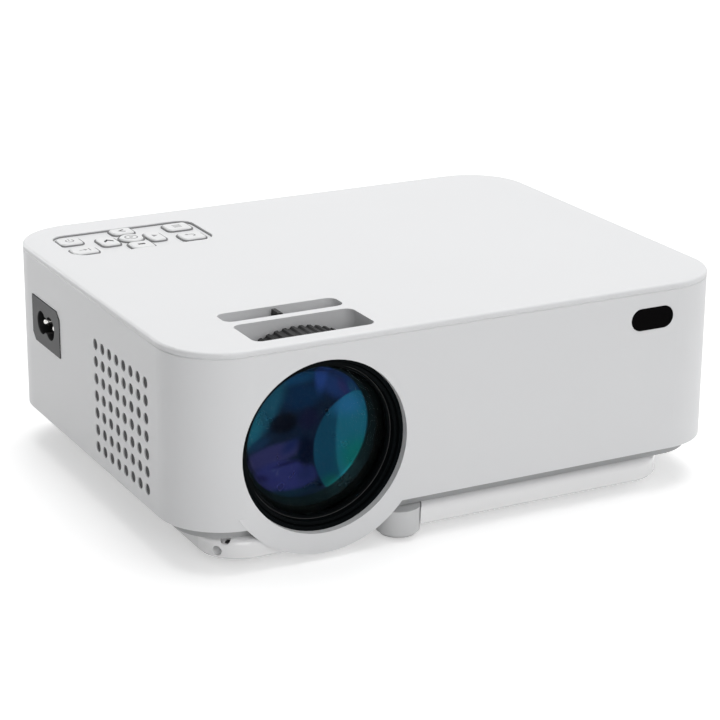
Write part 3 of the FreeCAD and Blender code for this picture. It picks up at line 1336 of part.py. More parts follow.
def inlet_outline(grow):
    """The inlet's plate: a rectangle with two cut corners."""
    y, z = inlet
    half_long, half_high, cut = inlet_length / 2 + grow, inlet_height / 2 + grow, 2.5
    y0, y1, z0, z1 = y - half_long, y + half_long, z - half_high, z + half_high
    return polygon((y0, z0), (y1 - cut, z0), (y1, z0 + cut), (y1, z1), (y0 + cut, z1), (y0, z1 - cut))


def make_inlet():
    """Two-pin power inlet with its figure-eight cavity."""
    y, z = inlet
    outside = left - 0.3
    floor = outside + 12.0
    socket = Moulding("power_inlet")
    socket.add("YZ", outside, left + wall, inlet_outline(0))
    socket.add("YZ", left + wall, floor + 3.0, rectangle(y - 11.0, y + 11.0, z - 6.5, z + 6.5))
    lobe = cavity_height / 2
    reach = (cavity_length - cavity_height) / 2
    for side in (-1, 1):
        socket.cut("YZ", outside, floor, circle(y + reach * side, z, lobe))
    socket.cut("YZ", outside, floor, rectangle(y - reach, y + reach, z - lobe + 1.3, z + lobe - 1.3))
    pin_start, pin_thick = outside + 2.2, 1.2
    pins = [
        rod("x", (pin_start, y + inlet_pitch / 2 * side, z), pin_thick, floor - pin_start) for side in (-1, 1)
    ]
    finish(group(pins), "inlet_pins")


def make_infrared():
    """The black window in the front and the receiver behind it."""
    x, z = window
    half_length, half_height = window_length / 2, window_height / 2
    pane = Moulding("ir_window")
    inside = front + wall
    for start, end, grow in ((front - 0.1, inside, 0), (inside, inside + 0.8, 1.0)):
        long, high = half_length + grow, half_height + grow
        pane.add("XZ", start, end, capsule(x - long, x + long, z - high, z + high))
    board = inside + 4.8
    receiver = [
        block((x - 8.0, x + 8.0), (board, board + 1.2), (z - 12.0, z + 4.0)),
        block((x - 3.0, x + 3.0), (inside + 1.3, board), (z - 3.2, z + 3.2)),
    ]
    finish(union(receiver), "ir_receiver")


def make_speaker():
    """Small full-range speaker behind the holes in the left side."""
    outer, magnet = speaker_radius, 11.5
    profile = [
        (outer, 0), (outer, 1.6), (outer - 2.2, 1.6), (magnet, 7.0), (magnet, 14.0), (0, 14.0), (0, 4.0),
        (4.5, 5.2), (outer - 3.4, 1.2), (outer - 3.4, 0),
    ]
    turned("speaker", profile, (left + wall, *grille), "x")


def check_and_export():
    """Refuses a failed or broken object, then writes each sub-part."""
    doc.recompute()
    failed = [o.Label for o in doc.Objects if {"Invalid", "Error"} & set(o.State)]
    broken = [p.Label for p in finished if p.Shape.isNull() or not p.Shape.isValid() or not p.Shape.Solids]
    if failed or broken:
        raise RuntimeError(f"failed {failed}, broken {broken}")
    os.makedirs("parts", exist_ok=True)
    for piece in finished:
        piece.Shape.exportStep(f"parts/{piece.Label}.step")


make_main_shell()
make_top_cover()
make_chassis_plate()
make_bottom_pan()
make_underside()
make_lens()
make_focus_ring()
make_keystone_slider()
make_mirror()
make_light_engine()
make_fan()
make_disc_drive()
make_keypad()
make_ports()
make_boards()
make_inlet()
make_infrared()
make_speaker()
check_and_export()
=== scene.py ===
"""Looks of the compact projector with a slim disc drive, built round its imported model.

Lengths are in metres. The lens faces -Y, the keys are on top and the disc tray slides out along +X.
"""
import math

import bmesh
import bpy
from mathutils import Matrix, Quaternion, Vector


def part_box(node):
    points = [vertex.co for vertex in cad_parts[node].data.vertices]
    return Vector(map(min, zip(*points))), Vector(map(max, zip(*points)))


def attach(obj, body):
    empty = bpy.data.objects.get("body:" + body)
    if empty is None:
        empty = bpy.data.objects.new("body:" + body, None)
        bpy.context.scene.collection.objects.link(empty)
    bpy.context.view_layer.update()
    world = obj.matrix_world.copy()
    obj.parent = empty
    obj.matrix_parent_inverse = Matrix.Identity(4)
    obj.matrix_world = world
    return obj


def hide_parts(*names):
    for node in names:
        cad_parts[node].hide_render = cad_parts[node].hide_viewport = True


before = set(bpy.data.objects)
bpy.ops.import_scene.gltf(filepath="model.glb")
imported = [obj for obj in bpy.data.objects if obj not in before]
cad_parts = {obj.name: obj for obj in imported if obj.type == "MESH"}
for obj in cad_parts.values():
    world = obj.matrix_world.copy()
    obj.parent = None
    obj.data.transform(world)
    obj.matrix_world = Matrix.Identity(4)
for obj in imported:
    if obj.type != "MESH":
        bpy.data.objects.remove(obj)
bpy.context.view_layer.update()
scene = bpy.context.scene

# ---------------------------------------------------------------- camera
# A long-lens view from the front left, a little above the lid, held almost level. It looks at the
# middle of the casing, and has no shift and no depth of field.
camera_place = Vector((-0.3598, -0.6825, 0.2994))
camera_target = Vector((0.0005, 0.0, 0.0340))
camera_roll = 0.00645
film_width, focal_length = 36.0, 116.87
nearest, farthest = 0.01, 20.0

camera_lens = bpy.data.cameras.new("camera")
camera_lens.sensor_width = film_width
camera_lens.lens = focal_length
camera_lens.clip_start = nearest
camera_lens.clip_end = farthest
camera = bpy.data.objects.new("camera", camera_lens)
camera.rotation_mode = "QUATERNION"
camera.location = camera_place
aim = (camera_target - camera_place).to_track_quat("-Z", "Y")
camera.rotation_quaternion = aim @ Quaternion((0, 0, 1), camera_roll)
scene.collection.objects.link(camera)
scene.camera = camera

# ---------------------------------------------------------------- studio
# White sweep under a broad overhead softbox, with a raised panel at the front and a weak one at the rear
# left. A dark flag stands at the left, so the side wall reads a little darker than the front. The sweep
# adds a little white where it is looked at or mirrored, and keeps the shadow.
white = (1.0, 1.0, 1.0, 1.0)
ambient, flagged, flag_blur = 0.54, 0.0, 0.5
flag_side = Vector((-0.97, 0.24, 0.0)).normalized()
sweep_size, sweep_tone, sweep_lift = 8.0, 0.86, 0.42
scene.view_settings.view_transform = "Standard"


def add_node(material, kind, **settings):
    """A shader node with its sockets or properties set."""
    made = material.node_tree.nodes.new(kind)
    for name, value in settings.items():
        socket = made.inputs.get(name.replace("_", " "))
        if socket is None:
            setattr(made, name, value)
        else:
            socket.default_value = value
    return made


def wire(material, source, output, target, socket):
    """Joins one node's output to another's input."""
    material.node_tree.links.new(source.outputs[output], target.inputs[socket])


def seen_directly(material):
    """1 where a camera, mirror or glass ray looks, 0 for diffuse light."""
    path = add_node(material, "ShaderNodeLightPath")
    either = add_node(material, "ShaderNodeMath", operation="MAXIMUM")
    wire(material, path, "Is Camera Ray", either, 0)
    wire(material, path, "Is Glossy Ray", either, 1)
    every = add_node(material, "ShaderNodeMath", operation="MAXIMUM")
    wire(material, either, 0, every, 0)
    wire(material, path, "Is Transmission Ray", every, 1)
    return every


world = bpy.data.worlds.new("studio")
world.use_nodes = True
scene.world = world
sky = world.node_tree.nodes["Background"]
sky.inputs["Color"].default_value = white
where = add_node(world, "ShaderNodeTexCoord")
facing = add_node(world, "ShaderNodeVectorMath", operation="DOT_PRODUCT")
facing.inputs[1].default_value = flag_side
wire(world, where, "Generated", facing, 0)
shade = add_node(
    world, "ShaderNodeMapRange", From_Min=0.0, From_Max=flag_blur, To_Min=ambient, To_Max=flagged,
)
wire(world, facing, "Value", shade, "Value")
strength = add_node(world, "ShaderNodeMix", data_type="FLOAT")
strength.inputs[3].default_value = 1.0
wire(world, seen_directly(world), 0, strength, 0)
wire(world, shade, "Result", strength, 2)
wire(world, strength, 0, sky, "Strength")

sweep_paint = bpy.data.materials.new("sweep")
sweep_paint.use_nodes = True
paper = sweep_paint.node_tree.nodes["Principled BSDF"]
paper.inputs["Base Color"].default_value = (sweep_tone, sweep_tone, sweep_tone, 1.0)
paper.inputs["Roughness"].default_value = 0.9
paper.inputs["Specular IOR Level"].default_value = 0.1
paper.inputs["Emission Color"].default_value = white
lift = add_node(sweep_paint, "ShaderNodeMapRange", To_Min=0.0, To_Max=sweep_lift)
wire(sweep_paint, seen_directly(sweep_paint), 0, lift, "Value")
wire(sweep_paint, lift, "Result", paper, "Emission Strength")
sheet = bmesh.new()
bmesh.ops.create_grid(sheet, x_segments=1, y_segments=1, size=sweep_size / 2)
sweep_mesh = bpy.data.meshes.new("studio_floor")
sheet.to_mesh(sweep_mesh)
sheet.free()
sweep_mesh.materials.append(sweep_paint)
sweep = bpy.data.objects.new("studio_floor", sweep_mesh)
scene.collection.objects.link(sweep)


def softbox(name, place, wide, high, power, target=(0.0, 0.0, 0.04)):
    """A panel light that faces the projector."""
    panel = bpy.data.lights.new(name, "AREA")
    panel.shape = "RECTANGLE"
    panel.size = wide
    panel.size_y = high
    panel.energy = power
    lamp = bpy.data.objects.new(name, panel)
    lamp.location = place
    direction = Vector(target) - Vector(place)
    lamp.rotation_mode = "QUATERNION"
    lamp.rotation_quaternion = direction.to_track_quat("-Z", "Y")
    scene.collection.objects.link(lamp)


softbox("overhead", (0.16, 0.18, 1.30), 1.20, 1.20, 11.2)
softbox("front_panel", (-0.32, -1.15, 0.58), 0.80, 0.50, 2.9)
softbox("rear_left_panel", (-0.45, 1.00, 0.25), 0.40, 0.40, 2.2)


# ---------------------------------------------------------------- bottom pan
# White ABS pan, injection moulded in a polished tool, so it is glossier than the shell. Its tone is painted
# lighter than the shell's, as painted light for its brightly lit shoulder. Four screws hold it from below.
drift_scale, drift_detail, grain_detail, grain_strength = 14.0, 3.0, 2.0, 0.35
sheen_below, sheen_above = 0.04, 0.06
pan_varnish = 0.6


def new_material(name):
    """A node material and its Principled shader."""
    made = bpy.data.materials.new(name)
    made.use_nodes = True
    return made, made.node_tree.nodes["Principled BSDF"]


def coat(material, *nodes):
    """Gives CAD nodes their finish."""
    for name in nodes:
        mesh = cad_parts[name].data
        mesh.materials.clear()
        mesh.materials.append(material)


def moulded(name, dark, light, roughness, grain, depth, gloss=0.5):
    """Moulded plastic: a slow drift of tone and gloss, and a grain of a given fineness and depth."""
    made, shader = new_material(name)
    place = add_node(made, "ShaderNodeTexCoord")
    drift = add_node(made, "ShaderNodeTexNoise", Scale=drift_scale, Detail=drift_detail)
    tone = add_node(made, "ShaderNodeMix", data_type="RGBA")
    tone.inputs[6].default_value = (*dark, 1.0)
    tone.inputs[7].default_value = (*light, 1.0)
    spark = add_node(made, "ShaderNodeTexNoise", Scale=grain, Detail=grain_detail)
    relief = add_node(made, "ShaderNodeBump", Strength=grain_strength, Distance=depth)
    shine = add_node(
        made, "ShaderNodeMapRange", To_Min=roughness - sheen_below, To_Max=roughness + sheen_above,
    )
    wire(made, place, "Object", drift, "Vector")
    wire(made, place, "Object", spark, "Vector")
    wire(made, drift, "Fac", tone, "Factor")
    wire(made, tone, 2, shader, "Base Color")
    wire(made, spark, "Fac", relief, "Height")
    wire(made, relief, "Normal", shader, "Normal")
    wire(made, drift, "Fac", shine, "Value")
    wire(made, shine, "Result", shader, "Roughness")
    shader.inputs["Specular IOR Level"].default_value = gloss
    return made


# A lighter tone than the shell's: painted light.
pan_plastic_painted_lighter = moulded(
    "pan_plastic_painted_lighter", (0.91, 0.91, 0.915), (0.94, 0.94, 0.945), 0.16, 1600.0, 0.000005, gloss=0.8,
)
pan_plastic_painted_lighter.node_tree.nodes["Principled BSDF"].inputs["Coat Weight"].default_value = pan_varnish
coat(pan_plastic_painted_lighter, "bottom_pan")

# ---------------------------------------------------------------- rubber feet
# Four soft rubber discs pressed into round seats in the pan. Each has a bevelled rim and a ring groove
# round a dimple in the sole, so that it grips the table.
foot_seats = [(x, y) for x in (-0.0765, 0.0670) for y in (-0.0565, 0.0545)]
foot_edge, foot_top, foot_bevel = 0.0060, 0.0043, 0.0005
groove_in, groove_out, groove_deep = 0.0036, 0.0044, 0.0006
dimple, dimple_deep = 0.0018, 0.0004
turning_steps = 48


def lathe(made, profile, place, axis, steps=turning_steps):
    """Spins a profile of (radius, distance along the axis) round an axis through place."""
    along = Vector(axis).normalized()
    across = along.orthogonal().normalized()
    origin = Vector(place)
    spots = [made.verts.new(origin + across * radius + along * reach) for radius, reach in profile]
    edges = [made.edges.new(pair) for pair in zip(spots, spots[1:])]
    bmesh.ops.spin(
        made, geom=spots + edges, cent=origin, axis=along, dvec=(0.0, 0.0, 0.0), angle=math.tau,
        steps=steps, use_merge=True,
    )


def finished(name, made, material, body, crease=35.0):
    """Closes, smooths and links a piece, and gives it its finish and the body that carries it."""
    bmesh.ops.remove_doubles(made, verts=made.verts, dist=1e-7)
    bmesh.ops.recalc_face_normals(made, faces=made.faces)
    for face in made.faces:
        face.smooth = True
    mesh = bpy.data.meshes.new(name)
    made.to_mesh(mesh)
    made.free()
    mesh.set_sharp_from_angle(angle=math.radians(crease))
    mesh.materials.append(material)
    piece = bpy.data.objects.new(name, mesh)
    scene.collection.objects.link(piece)
    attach(piece, body)
    return piece


rubber = moulded("rubber", (0.02, 0.02, 0.02), (0.03, 0.03, 0.03), 0.75, 1500.0, 0.00005, gloss=0.3)
feet = bmesh.new()
for x, y in foot_seats:
    lathe(
        feet,
        [
            (0.0, dimple_deep), (dimple, dimple_deep), (dimple + dimple_deep, 0.0), (groove_in, 0.0),
            (groove_in, groove_deep), (groove_out, groove_deep), (groove_out, 0.0),
            (foot_edge - foot_bevel, 0.0), (foot_edge, foot_bevel), (foot_edge, foot_top), (0.0, foot_top),
        ],
        (x, y, 0.0), (0, 0, 1),
    )
feet = finished("grooved_feet", feet, rubber, "housing")
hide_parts("rubber_feet")

# ---------------------------------------------------------------- tripod insert
# Brass bush pressed into the middle of the pan, tapped for a quarter-inch tripod screw of 20 threads to
# the inch.
bush_low = 0.0040
thread_pitch, thread_wall, thread_crest, thread_turns = 0.00127, 0.0028, 0.00249, 5
crest_start, crest_end = 0.45 * thread_pitch, 0.55 * thread_pitch
line_scale, line_strength, brighter, duller, line_tone = 900.0, 0.2, 0.08, 0.10, 0.85


def metal(name, colour, roughness, streaks, relief_depth=0.00002):
    """Bare metal with fine drawn lines; streaks holds how dense they are along X, Y and Z."""
    made, shader = new_material(name)
    place = add_node(made, "ShaderNodeTexCoord")
    stretch = add_node(made, "ShaderNodeMapping")
    stretch.inputs["Scale"].default_value = streaks
    lines = add_node(made, "ShaderNodeTexNoise", Scale=line_scale, Detail=3.0)
    shine = add_node(made, "ShaderNodeMapRange", To_Min=roughness - brighter, To_Max=roughness + duller)
    relief = add_node(made, "ShaderNodeBump", Strength=line_strength, Distance=relief_depth)
    tone = add_node(made, "ShaderNodeMix", data_type="RGBA")
    tone.inputs[6].default_value = (*[line_tone * channel for channel in colour], 1.0)
    tone.inputs[7].default_value = (*colour, 1.0)
    wire(made, place, "Object", stretch, "Vector")
    wire(made, stretch, "Vector", lines, "Vector")
    wire(made, lines, "Fac", shine, "Value")
    wire(made, shine, "Result", shader, "Roughness")
    wire(made, lines, "Fac", relief, "Height")
    wire(made, relief, "Normal", shader, "Normal")
    wire(made, lines, "Fac", tone, "Factor")
    wire(made, tone, 2, shader, "Base Color")
    shader.inputs["Metallic"].default_value = 1.0
    return made


brass = metal("brass", (0.70, 0.52, 0.24), 0.30, (1.0, 1.0, 0.05))
coat(brass, "tripod_insert")
thread = bmesh.new()
flank = [
    thread.verts.new((radius, 0.0, bush_low + reach))
    for radius, reach in (
        (thread_wall, 0.0), (thread_crest, crest_start),
        (thread_crest, crest_end), (thread_wall, thread_pitch),
    )
]
flank_edges = [thread.edges.new(pair) for pair in zip(flank, flank[1:])]
bmesh.ops.spin(
    thread, geom=flank + flank_edges, cent=(0, 0, 0), axis=(0, 0, 1),
    dvec=(0, 0, thread_pitch / turning_steps), angle=thread_turns * math.tau,
    steps=thread_turns * turning_steps,
)
finished("tripod_thread", thread, brass, "housing")

# ---------------------------------------------------------------- chassis plate
# Grey glass-filled plate between the pan and the shell, which carries the boards and the drive. Its edge
# is the set-back strip under the shell.
grey_plastic = moulded("grey_plastic", (0.40, 0.405, 0.41), (0.43, 0.435, 0.44), 0.45, 2200.0, 0.00003)
coat(grey_plastic, "chassis_plate")

# ---------------------------------------------------------------- cover screws
# Four zinc-plated steel pan-head screws with a cross recess, driven up through the pan and the plate
# into the lid's posts.
screw_seats = [(-0.0800, 0.0675), (0.0700, 0.0675), (0.0050, -0.0675), (0.0500, -0.0675)]
head_edge, head_low, head_high, head_round = 0.0028, 0.0041, 0.0060, 0.0006
shank_edge, shank_high = 0.0014, 0.0238
screw_steps = 24
cross_long, cross_wide, cross_deep = 0.0016, 0.00035, 0.0012

steel = metal("steel", (0.62, 0.63, 0.64), 0.32, (0.05, 1.0, 1.0))
screws = bmesh.new()
for x, y in screw_seats:
    corners = []
    for quarter in range(4):
        turn = Matrix.Rotation(quarter * math.pi / 2, 3, "Z")
        for spot in ((cross_wide, cross_wide), (cross_long, cross_wide), (cross_long, -cross_wide)):
            corners.append(screws.verts.new(turn @ Vector((*spot, 0.0)) + Vector((x, y, head_low))))
    order = [corners[3 * arm + step] for arm in (0, 3, 2, 1) for step in (0, 1, 2)]
    mouth = [screws.edges.new(pair) for pair in zip(order, order[1:] + order[:1])]
    rim = bmesh.ops.create_circle(
        screws, segments=screw_steps, radius=head_edge - head_round,
        matrix=Matrix.Translation((x, y, head_low)),
    )["verts"]
    rim_edges = list({edge for vert in rim for edge in vert.link_edges})
    bmesh.ops.bridge_loops(screws, edges=mouth + rim_edges)
    sunk = bmesh.ops.extrude_edge_only(screws, edges=mouth)["geom"]
    bottom = [item for item in sunk if isinstance(item, bmesh.types.BMVert)]
    bottom_edges = [
        item for item in sunk if isinstance(item, bmesh.types.BMEdge) and set(item.verts) <= set(bottom)
    ]
    bmesh.ops.translate(screws, verts=bottom, vec=(0, 0, cross_deep))
    bmesh.ops.contextual_create(screws, geom=bottom_edges)
    lathe(
        screws,
        [
            (head_edge - head_round, head_low), (head_edge, head_low + head_round), (head_edge, head_high),
            (shank_edge, head_high), (shank_edge, shank_high), (0.0, shank_high),
        ],
        (x, y, 0.0), (0, 0, 1), screw_steps,
    )
screws = finished("cross_head_screws", screws, steel, "housing")
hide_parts("cover_screws")

# ---------------------------------------------------------------- front foot
# Pale ABS cap that screws down on a fixed steel stud to raise the front, with a matt slip disc under it
# that stays still on the table while the cap turns.
cap_plastic = moulded("cap_plastic", (0.66, 0.665, 0.67), (0.69, 0.695, 0.70), 0.3, 1800.0, 0.00002)
coat(cap_plastic, "foot_cup")
slip_plastic = moulded("slip_plastic", (0.60, 0.60, 0.60), (0.66, 0.66, 0.66), 0.5, 1200.0, 0.00002)
coat(slip_plastic, "foot_sole")
coat(steel, "foot_stud")

# ---------------------------------------------------------------- main shell
# The four walls in one white ABS moulding with a fine spark-eroded grain. It has the round lens apron, the
# speaker holes and the louvres, and is clamped between the plate and the lid.
white_plastic = moulded("white_plastic", (0.785, 0.79, 0.80), (0.815, 0.82, 0.83), 0.36, 2600.0, 0.00002)
coat(white_plastic, "main_shell")

# ---------------------------------------------------------------- speaker and fan
# Black glass-filled mouldings, satin and nearly without gloss: the speaker's basket behind the grille,
# and the fan's frame and rotor behind the louvres. They screw to bosses inside the shell.
black_plastic = moulded(
    "black_plastic", (0.010, 0.010, 0.011), (0.015, 0.015, 0.016), 0.50, 2400.0, 0.00003, gloss=0.22,
)
coat(black_plastic, "speaker", "fan_frame", "fan_rotor")

# ---------------------------------------------------------------- speaker holes, painted shade
# Dark grey woven cloth that swells into each of the 56 holes of the grille, nearly to the wall's face. It is
# a dark thing put in the holes where they are in shade: painted shade.
left_face, grille_y, grille_z = -0.1000, -0.0268, 0.03895
hole_columns, hole_rows, hole_pitch, hole_edge, hole_steps = 8, 7, 0.00595, 0.00187, 20
cloth_deep, bulge_top, bulge_edge = 0.00038, 0.00028, 0.6 * hole_edge
cloth_threads = 900.0

hole_shade_cloth, cloth_shader = new_material("speaker_holes_painted_shade")
weave_place = add_node(hole_shade_cloth, "ShaderNodeTexCoord")
warp = add_node(hole_shade_cloth, "ShaderNodeTexWave", wave_type="BANDS", bands_direction="Y", Scale=cloth_threads)
weft = add_node(hole_shade_cloth, "ShaderNodeTexWave", wave_type="BANDS", bands_direction="Z", Scale=cloth_threads)
woven = add_node(hole_shade_cloth, "ShaderNodeMath", operation="MULTIPLY")
yarn = add_node(hole_shade_cloth, "ShaderNodeMix", data_type="RGBA")
# Dark yarn tones that give the holes their painted shade.
yarn.inputs[6].default_value = (0.095, 0.095, 0.097, 1.0)
yarn.inputs[7].default_value = (0.230, 0.230, 0.233, 1.0)
for threads, socket in ((warp, 0), (weft, 1)):
    wire(hole_shade_cloth, weave_place, "Object", threads, "Vector")
    wire(hole_shade_cloth, threads, "Fac", woven, socket)
wire(hole_shade_cloth, woven, 0, yarn, 0)
wire(hole_shade_cloth, yarn, 2, cloth_shader, "Base Color")
cloth_shader.inputs["Roughness"].default_value = 0.9
cloth_shader.inputs["Specular IOR Level"].default_value = 0.1
swells = bmesh.new()
for column in range(hole_columns):
    for row in range(hole_rows):
        y = grille_y + (column - (hole_columns - 1) / 2) * hole_pitch
        z = grille_z + (row - (hole_rows - 1) / 2) * hole_pitch
        lathe(
            swells,
            [(hole_edge, cloth_deep), (bulge_edge, bulge_top), (0.0, bulge_top)],
            (left_face, y, z), (1, 0, 0), hole_steps,
        )
finished("speaker_holes_painted_shade", swells, hole_shade_cloth, "housing")

# ---------------------------------------------------------------- power inlet
# Black nylon appliance inlet snapped into the left wall: a matt plate round a deep figure-eight cavity, whose
# walls are painted darker inwards as shade, and two nickel-plated pins with round tips pressed into its
# floor.
inlet_face, mouth_start, mouth_end, cavity_floor = -0.1003, 0.00012, 0.0006, 0.0120
inlet_y, inlet_z, pin_pitch, pin_edge, pin_start, pin_steps = 0.03945, 0.0498, 0.0086, 0.0012, 0.0009, 24
tip_edge, tip_rise = 0.55 * pin_edge, 0.15 * pin_edge

inlet_plastic = moulded(
    "inlet_plastic", (0.045, 0.046, 0.048), (0.060, 0.061, 0.063), 0.5, 1800.0, 0.00004, gloss=0.3,
)
# Painted shade: past the cavity's mouth the colour falls from the plate's tone to near black along X.
inlet_place = add_node(inlet_plastic, "ShaderNodeTexCoord")
inlet_parts = add_node(inlet_plastic, "ShaderNodeSeparateXYZ")
inside = add_node(
    inlet_plastic, "ShaderNodeMapRange", From_Min=inlet_face + mouth_start, From_Max=inlet_face + mouth_end,
)
plate = inlet_plastic.node_tree.nodes["Principled BSDF"]
plate_tone = plate.inputs["Base Color"].links[0].from_node
cavity_painted_shade = add_node(inlet_plastic, "ShaderNodeMix", data_type="RGBA")
cavity_painted_shade.inputs[7].default_value = (0.006, 0.006, 0.006, 1.0)
wire(inlet_plastic, inlet_place, "Object", inlet_parts, 0)
wire(inlet_plastic, inlet_parts, "X", inside, "Value")
wire(inlet_plastic, inside, 0, cavity_painted_shade, 0)
wire(inlet_plastic, plate_tone, 2, cavity_painted_shade, 6)
wire(inlet_plastic, cavity_painted_shade, 2, plate, "Base Color")
coat(inlet_plastic, "power_inlet")

nickel = metal("nickel", (0.78, 0.77, 0.75), 0.25, (0.05, 1.0, 1.0))
pins = bmesh.new()
for side in (-1, 1):
    lathe(
        pins,
        [
            (0.0, pin_start), (tip_edge, pin_start + tip_rise), (pin_edge, pin_start + pin_edge),
            (pin_edge, cavity_floor), (0.0, cavity_floor),
        ],
        (inlet_face, inlet_y + side * pin_pitch / 2, inlet_z), (1, 0, 0), pin_steps,
    )
pins = finished("round_tip_pins", pins, nickel, "housing", 50.0)
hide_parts("inlet_pins")

# ---------------------------------------------------------------- infrared window
# Oval of polished acrylic, glued into the front wall. It looks black, and lets infrared light through to
# the receiver behind it.
window_plastic = moulded(
    "window_plastic", (0.001, 0.001, 0.001), (0.002, 0.0015, 0.002), 0.22, 400.0, 0.000003, gloss=0.02,
)
coat(window_plastic, "ir_window")

# ---------------------------------------------------------------- circuit boards
# Glass-epoxy boards with green solder mask, screwed to the plate and under the lid. The receiver behind
# the infrared window is on a small one of its own.
board = moulded("solder_mask", (0.008, 0.07, 0.03), (0.012, 0.10, 0.045), 0.35, 900.0, 0.00005)
coat(board, "keypad_board", "power_board", "driver_board", "main_board", "ir_receiver")

# ---------------------------------------------------------------- light engine
# Extruded aluminium heat sink and LED board, a black light tunnel with clear acrylic plates in its
# grooves, and a front-silvered mirror glued into a black frame that tilts in a steel bracket.
aluminium = metal("aluminium", (0.72, 0.73, 0.74), 0.40, (0.05, 1.0, 1.0))
coat(aluminium, "heat_sink", "led_board")
silver = metal("silvering", (0.90, 0.90, 0.92), 0.12, (1.0, 1.0, 1.0), 0.0000005)
coat(silver, "mirror")
coat(steel, "mirror_bracket")
coat(black_plastic, "light_tunnel", "mirror_frame")
dust_scale, dust_thin, dust_thick = 260.0, 0.45, 0.8


def clear(name, colour, index, roughness, haze_depth=0.03):
    """Clear glass or acrylic with a faint haze of dust in its polish."""
    made, shader = new_material(name)
    shader.inputs["Base Color"].default_value = (*colour, 1.0)
    shader.inputs["Transmission Weight"].default_value = 1.0
    shader.inputs["IOR"].default_value = index
    place = add_node(made, "ShaderNodeTexCoord")
    dust = add_node(made, "ShaderNodeTexNoise", Scale=dust_scale, Detail=4.0)
    haze = add_node(
        made, "ShaderNodeMapRange", From_Min=dust_thin, From_Max=dust_thick,
        To_Min=roughness, To_Max=roughness + haze_depth,
    )
    wire(made, place, "Object", dust, "Vector")
    wire(made, dust, "Fac", haze, "Value")
    wire(made, haze, "Result", shader, "Roughness")
    return made


optical_sheet = clear("optical_sheet", (0.90, 0.95, 0.96), 1.45, 0.02)
coat(optical_sheet, "rear_lens", "condenser_lens", "fresnel_plates", "lcd_panel")

# ---------------------------------------------------------------- projection lens
# Glass elements in a dead black barrel that slides as the focus ring turns. The front one is clear with a
# quiet coat.
# The meniscus behind it is held by a turned-in rim. Its colour holds painted reflections: soft violet, blue
# and green patches, a teal crescent and three small painted glints, laid as the colour of a metallic finish.
axis_x, axis_z = -0.0526, 0.0376
front_edge, front_low, front_high = 0.0257, -0.0716, -0.0679
front_curve, back_curve = 0.100, 0.170
inner_edge, inner_low, inner_curve = 0.0208, -0.0642, 0.130
inner_rim = [(0.0228, -0.0672), (0.0230, -0.0672), (0.0191, -0.0612), (0.0, -0.0612)]
lip_edge, lip_level, lip_thick = 0.0255, -0.0731, 0.00012
lens_centre, lens_axis, glass_steps = (axis_x, 0.0, axis_z), (0, 1, 0), 96
glass_crease = 60.0

lens_black = moulded(
    "lens_black", (0.0016, 0.0026, 0.0030), (0.0024, 0.0036, 0.0042), 0.6, 2400.0, 0.00002, gloss=0.04,
)
coat(lens_black, "lens_barrel", "lens_retaining_ring", "lens_mount")


def dome(edge, level, curve, bulge, rings=12):
    """Points of a spherical face from its axis out to its edge."""
    depth = math.sqrt(curve * curve - edge * edge)
    reach = [edge * ring / rings for ring in range(rings + 1)]
    return [(r, level + bulge * (math.sqrt(curve * curve - r * r) - depth)) for r in reach]


front_glass = bmesh.new()
lathe(
    front_glass,
    dome(front_edge, front_low, front_curve, -1) + dome(front_edge, front_high, back_curve, 1)[::-1],
    lens_centre, lens_axis, glass_steps,
)
coated_glass = clear("coated_glass", (0.90, 0.97, 0.98), 1.05, 0.01, haze_depth=0.002)
front_glass = finished("front_element", front_glass, coated_glass, "lens", glass_crease)
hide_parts("front_lens")

# A thin grey ring on the retaining ring's front edge, lighter than the black: a painted highlight along that
# edge.
lip_painted_highlight = moulded("lip_painted_highlight", (0.030, 0.031, 0.032), (0.045, 0.046, 0.047), 0.35, 1400.0, 0.00001, gloss=0.3)
lip = bmesh.new()
lathe(
    lip,
    [
        (lip_edge - lip_thick, lip_level), (lip_edge, lip_level - lip_thick),
        (lip_edge + lip_thick, lip_level), (lip_edge, lip_level + lip_thick),
        (lip_edge - lip_thick, lip_level),
    ],
    lens_centre, lens_axis, glass_steps,
)
finished("retaining_lip", lip, lip_painted_highlight, "lens")

element_painted_reflections, inner_shader = new_material("element_painted_reflections")
element_place = add_node(element_painted_reflections, "ShaderNodeTexCoord")
mm, beyond = 0.001, 100.0


def spot(middle, spread, turn, soft):
    """1 inside a soft-edged ellipse, in millimetres from the lens axis, and 0 outside."""
    local = add_node(element_painted_reflections, "ShaderNodeMapping", vector_type="TEXTURE")
    local.inputs["Location"].default_value = (axis_x + middle[0] * mm, 0.0, axis_z + middle[1] * mm)
    local.inputs["Rotation"].default_value = (0.0, math.radians(-turn), 0.0)
    local.inputs["Scale"].default_value = (spread[0] * mm, beyond, spread[1] * mm)
    wire(element_painted_reflections, element_place, "Object", local, "Vector")
    reach = add_node(element_painted_reflections, "ShaderNodeVectorMath", operation="LENGTH")
    wire(element_painted_reflections, local, "Vector", reach, 0)
    fade = add_node(
        element_painted_reflections, "ShaderNodeMapRange", interpolation_type="SMOOTHSTEP",
        From_Min=1.0, From_Max=1.0 - soft, To_Min=0.0, To_Max=1.0,
    )
    wire(element_painted_reflections, reach, "Value", fade, "Value")
    return fade


def lay(below, colour, fade, within=None):
    """Lays a colour over the colours below, inside one spot or inside two."""
    if within:
        both = add_node(element_painted_reflections, "ShaderNodeMath", operation="MULTIPLY")
        wire(element_painted_reflections, fade, 0, both, 0)
        wire(element_painted_reflections, within, 0, both, 1)
        fade = both
    over = add_node(element_painted_reflections, "ShaderNodeMix", data_type="RGBA")
    over.inputs[7].default_value = (*colour, 1.0)
    wire(element_painted_reflections, fade, 0, over, 0)
    wire(element_painted_reflections, below, 2, over, 6)
    return over
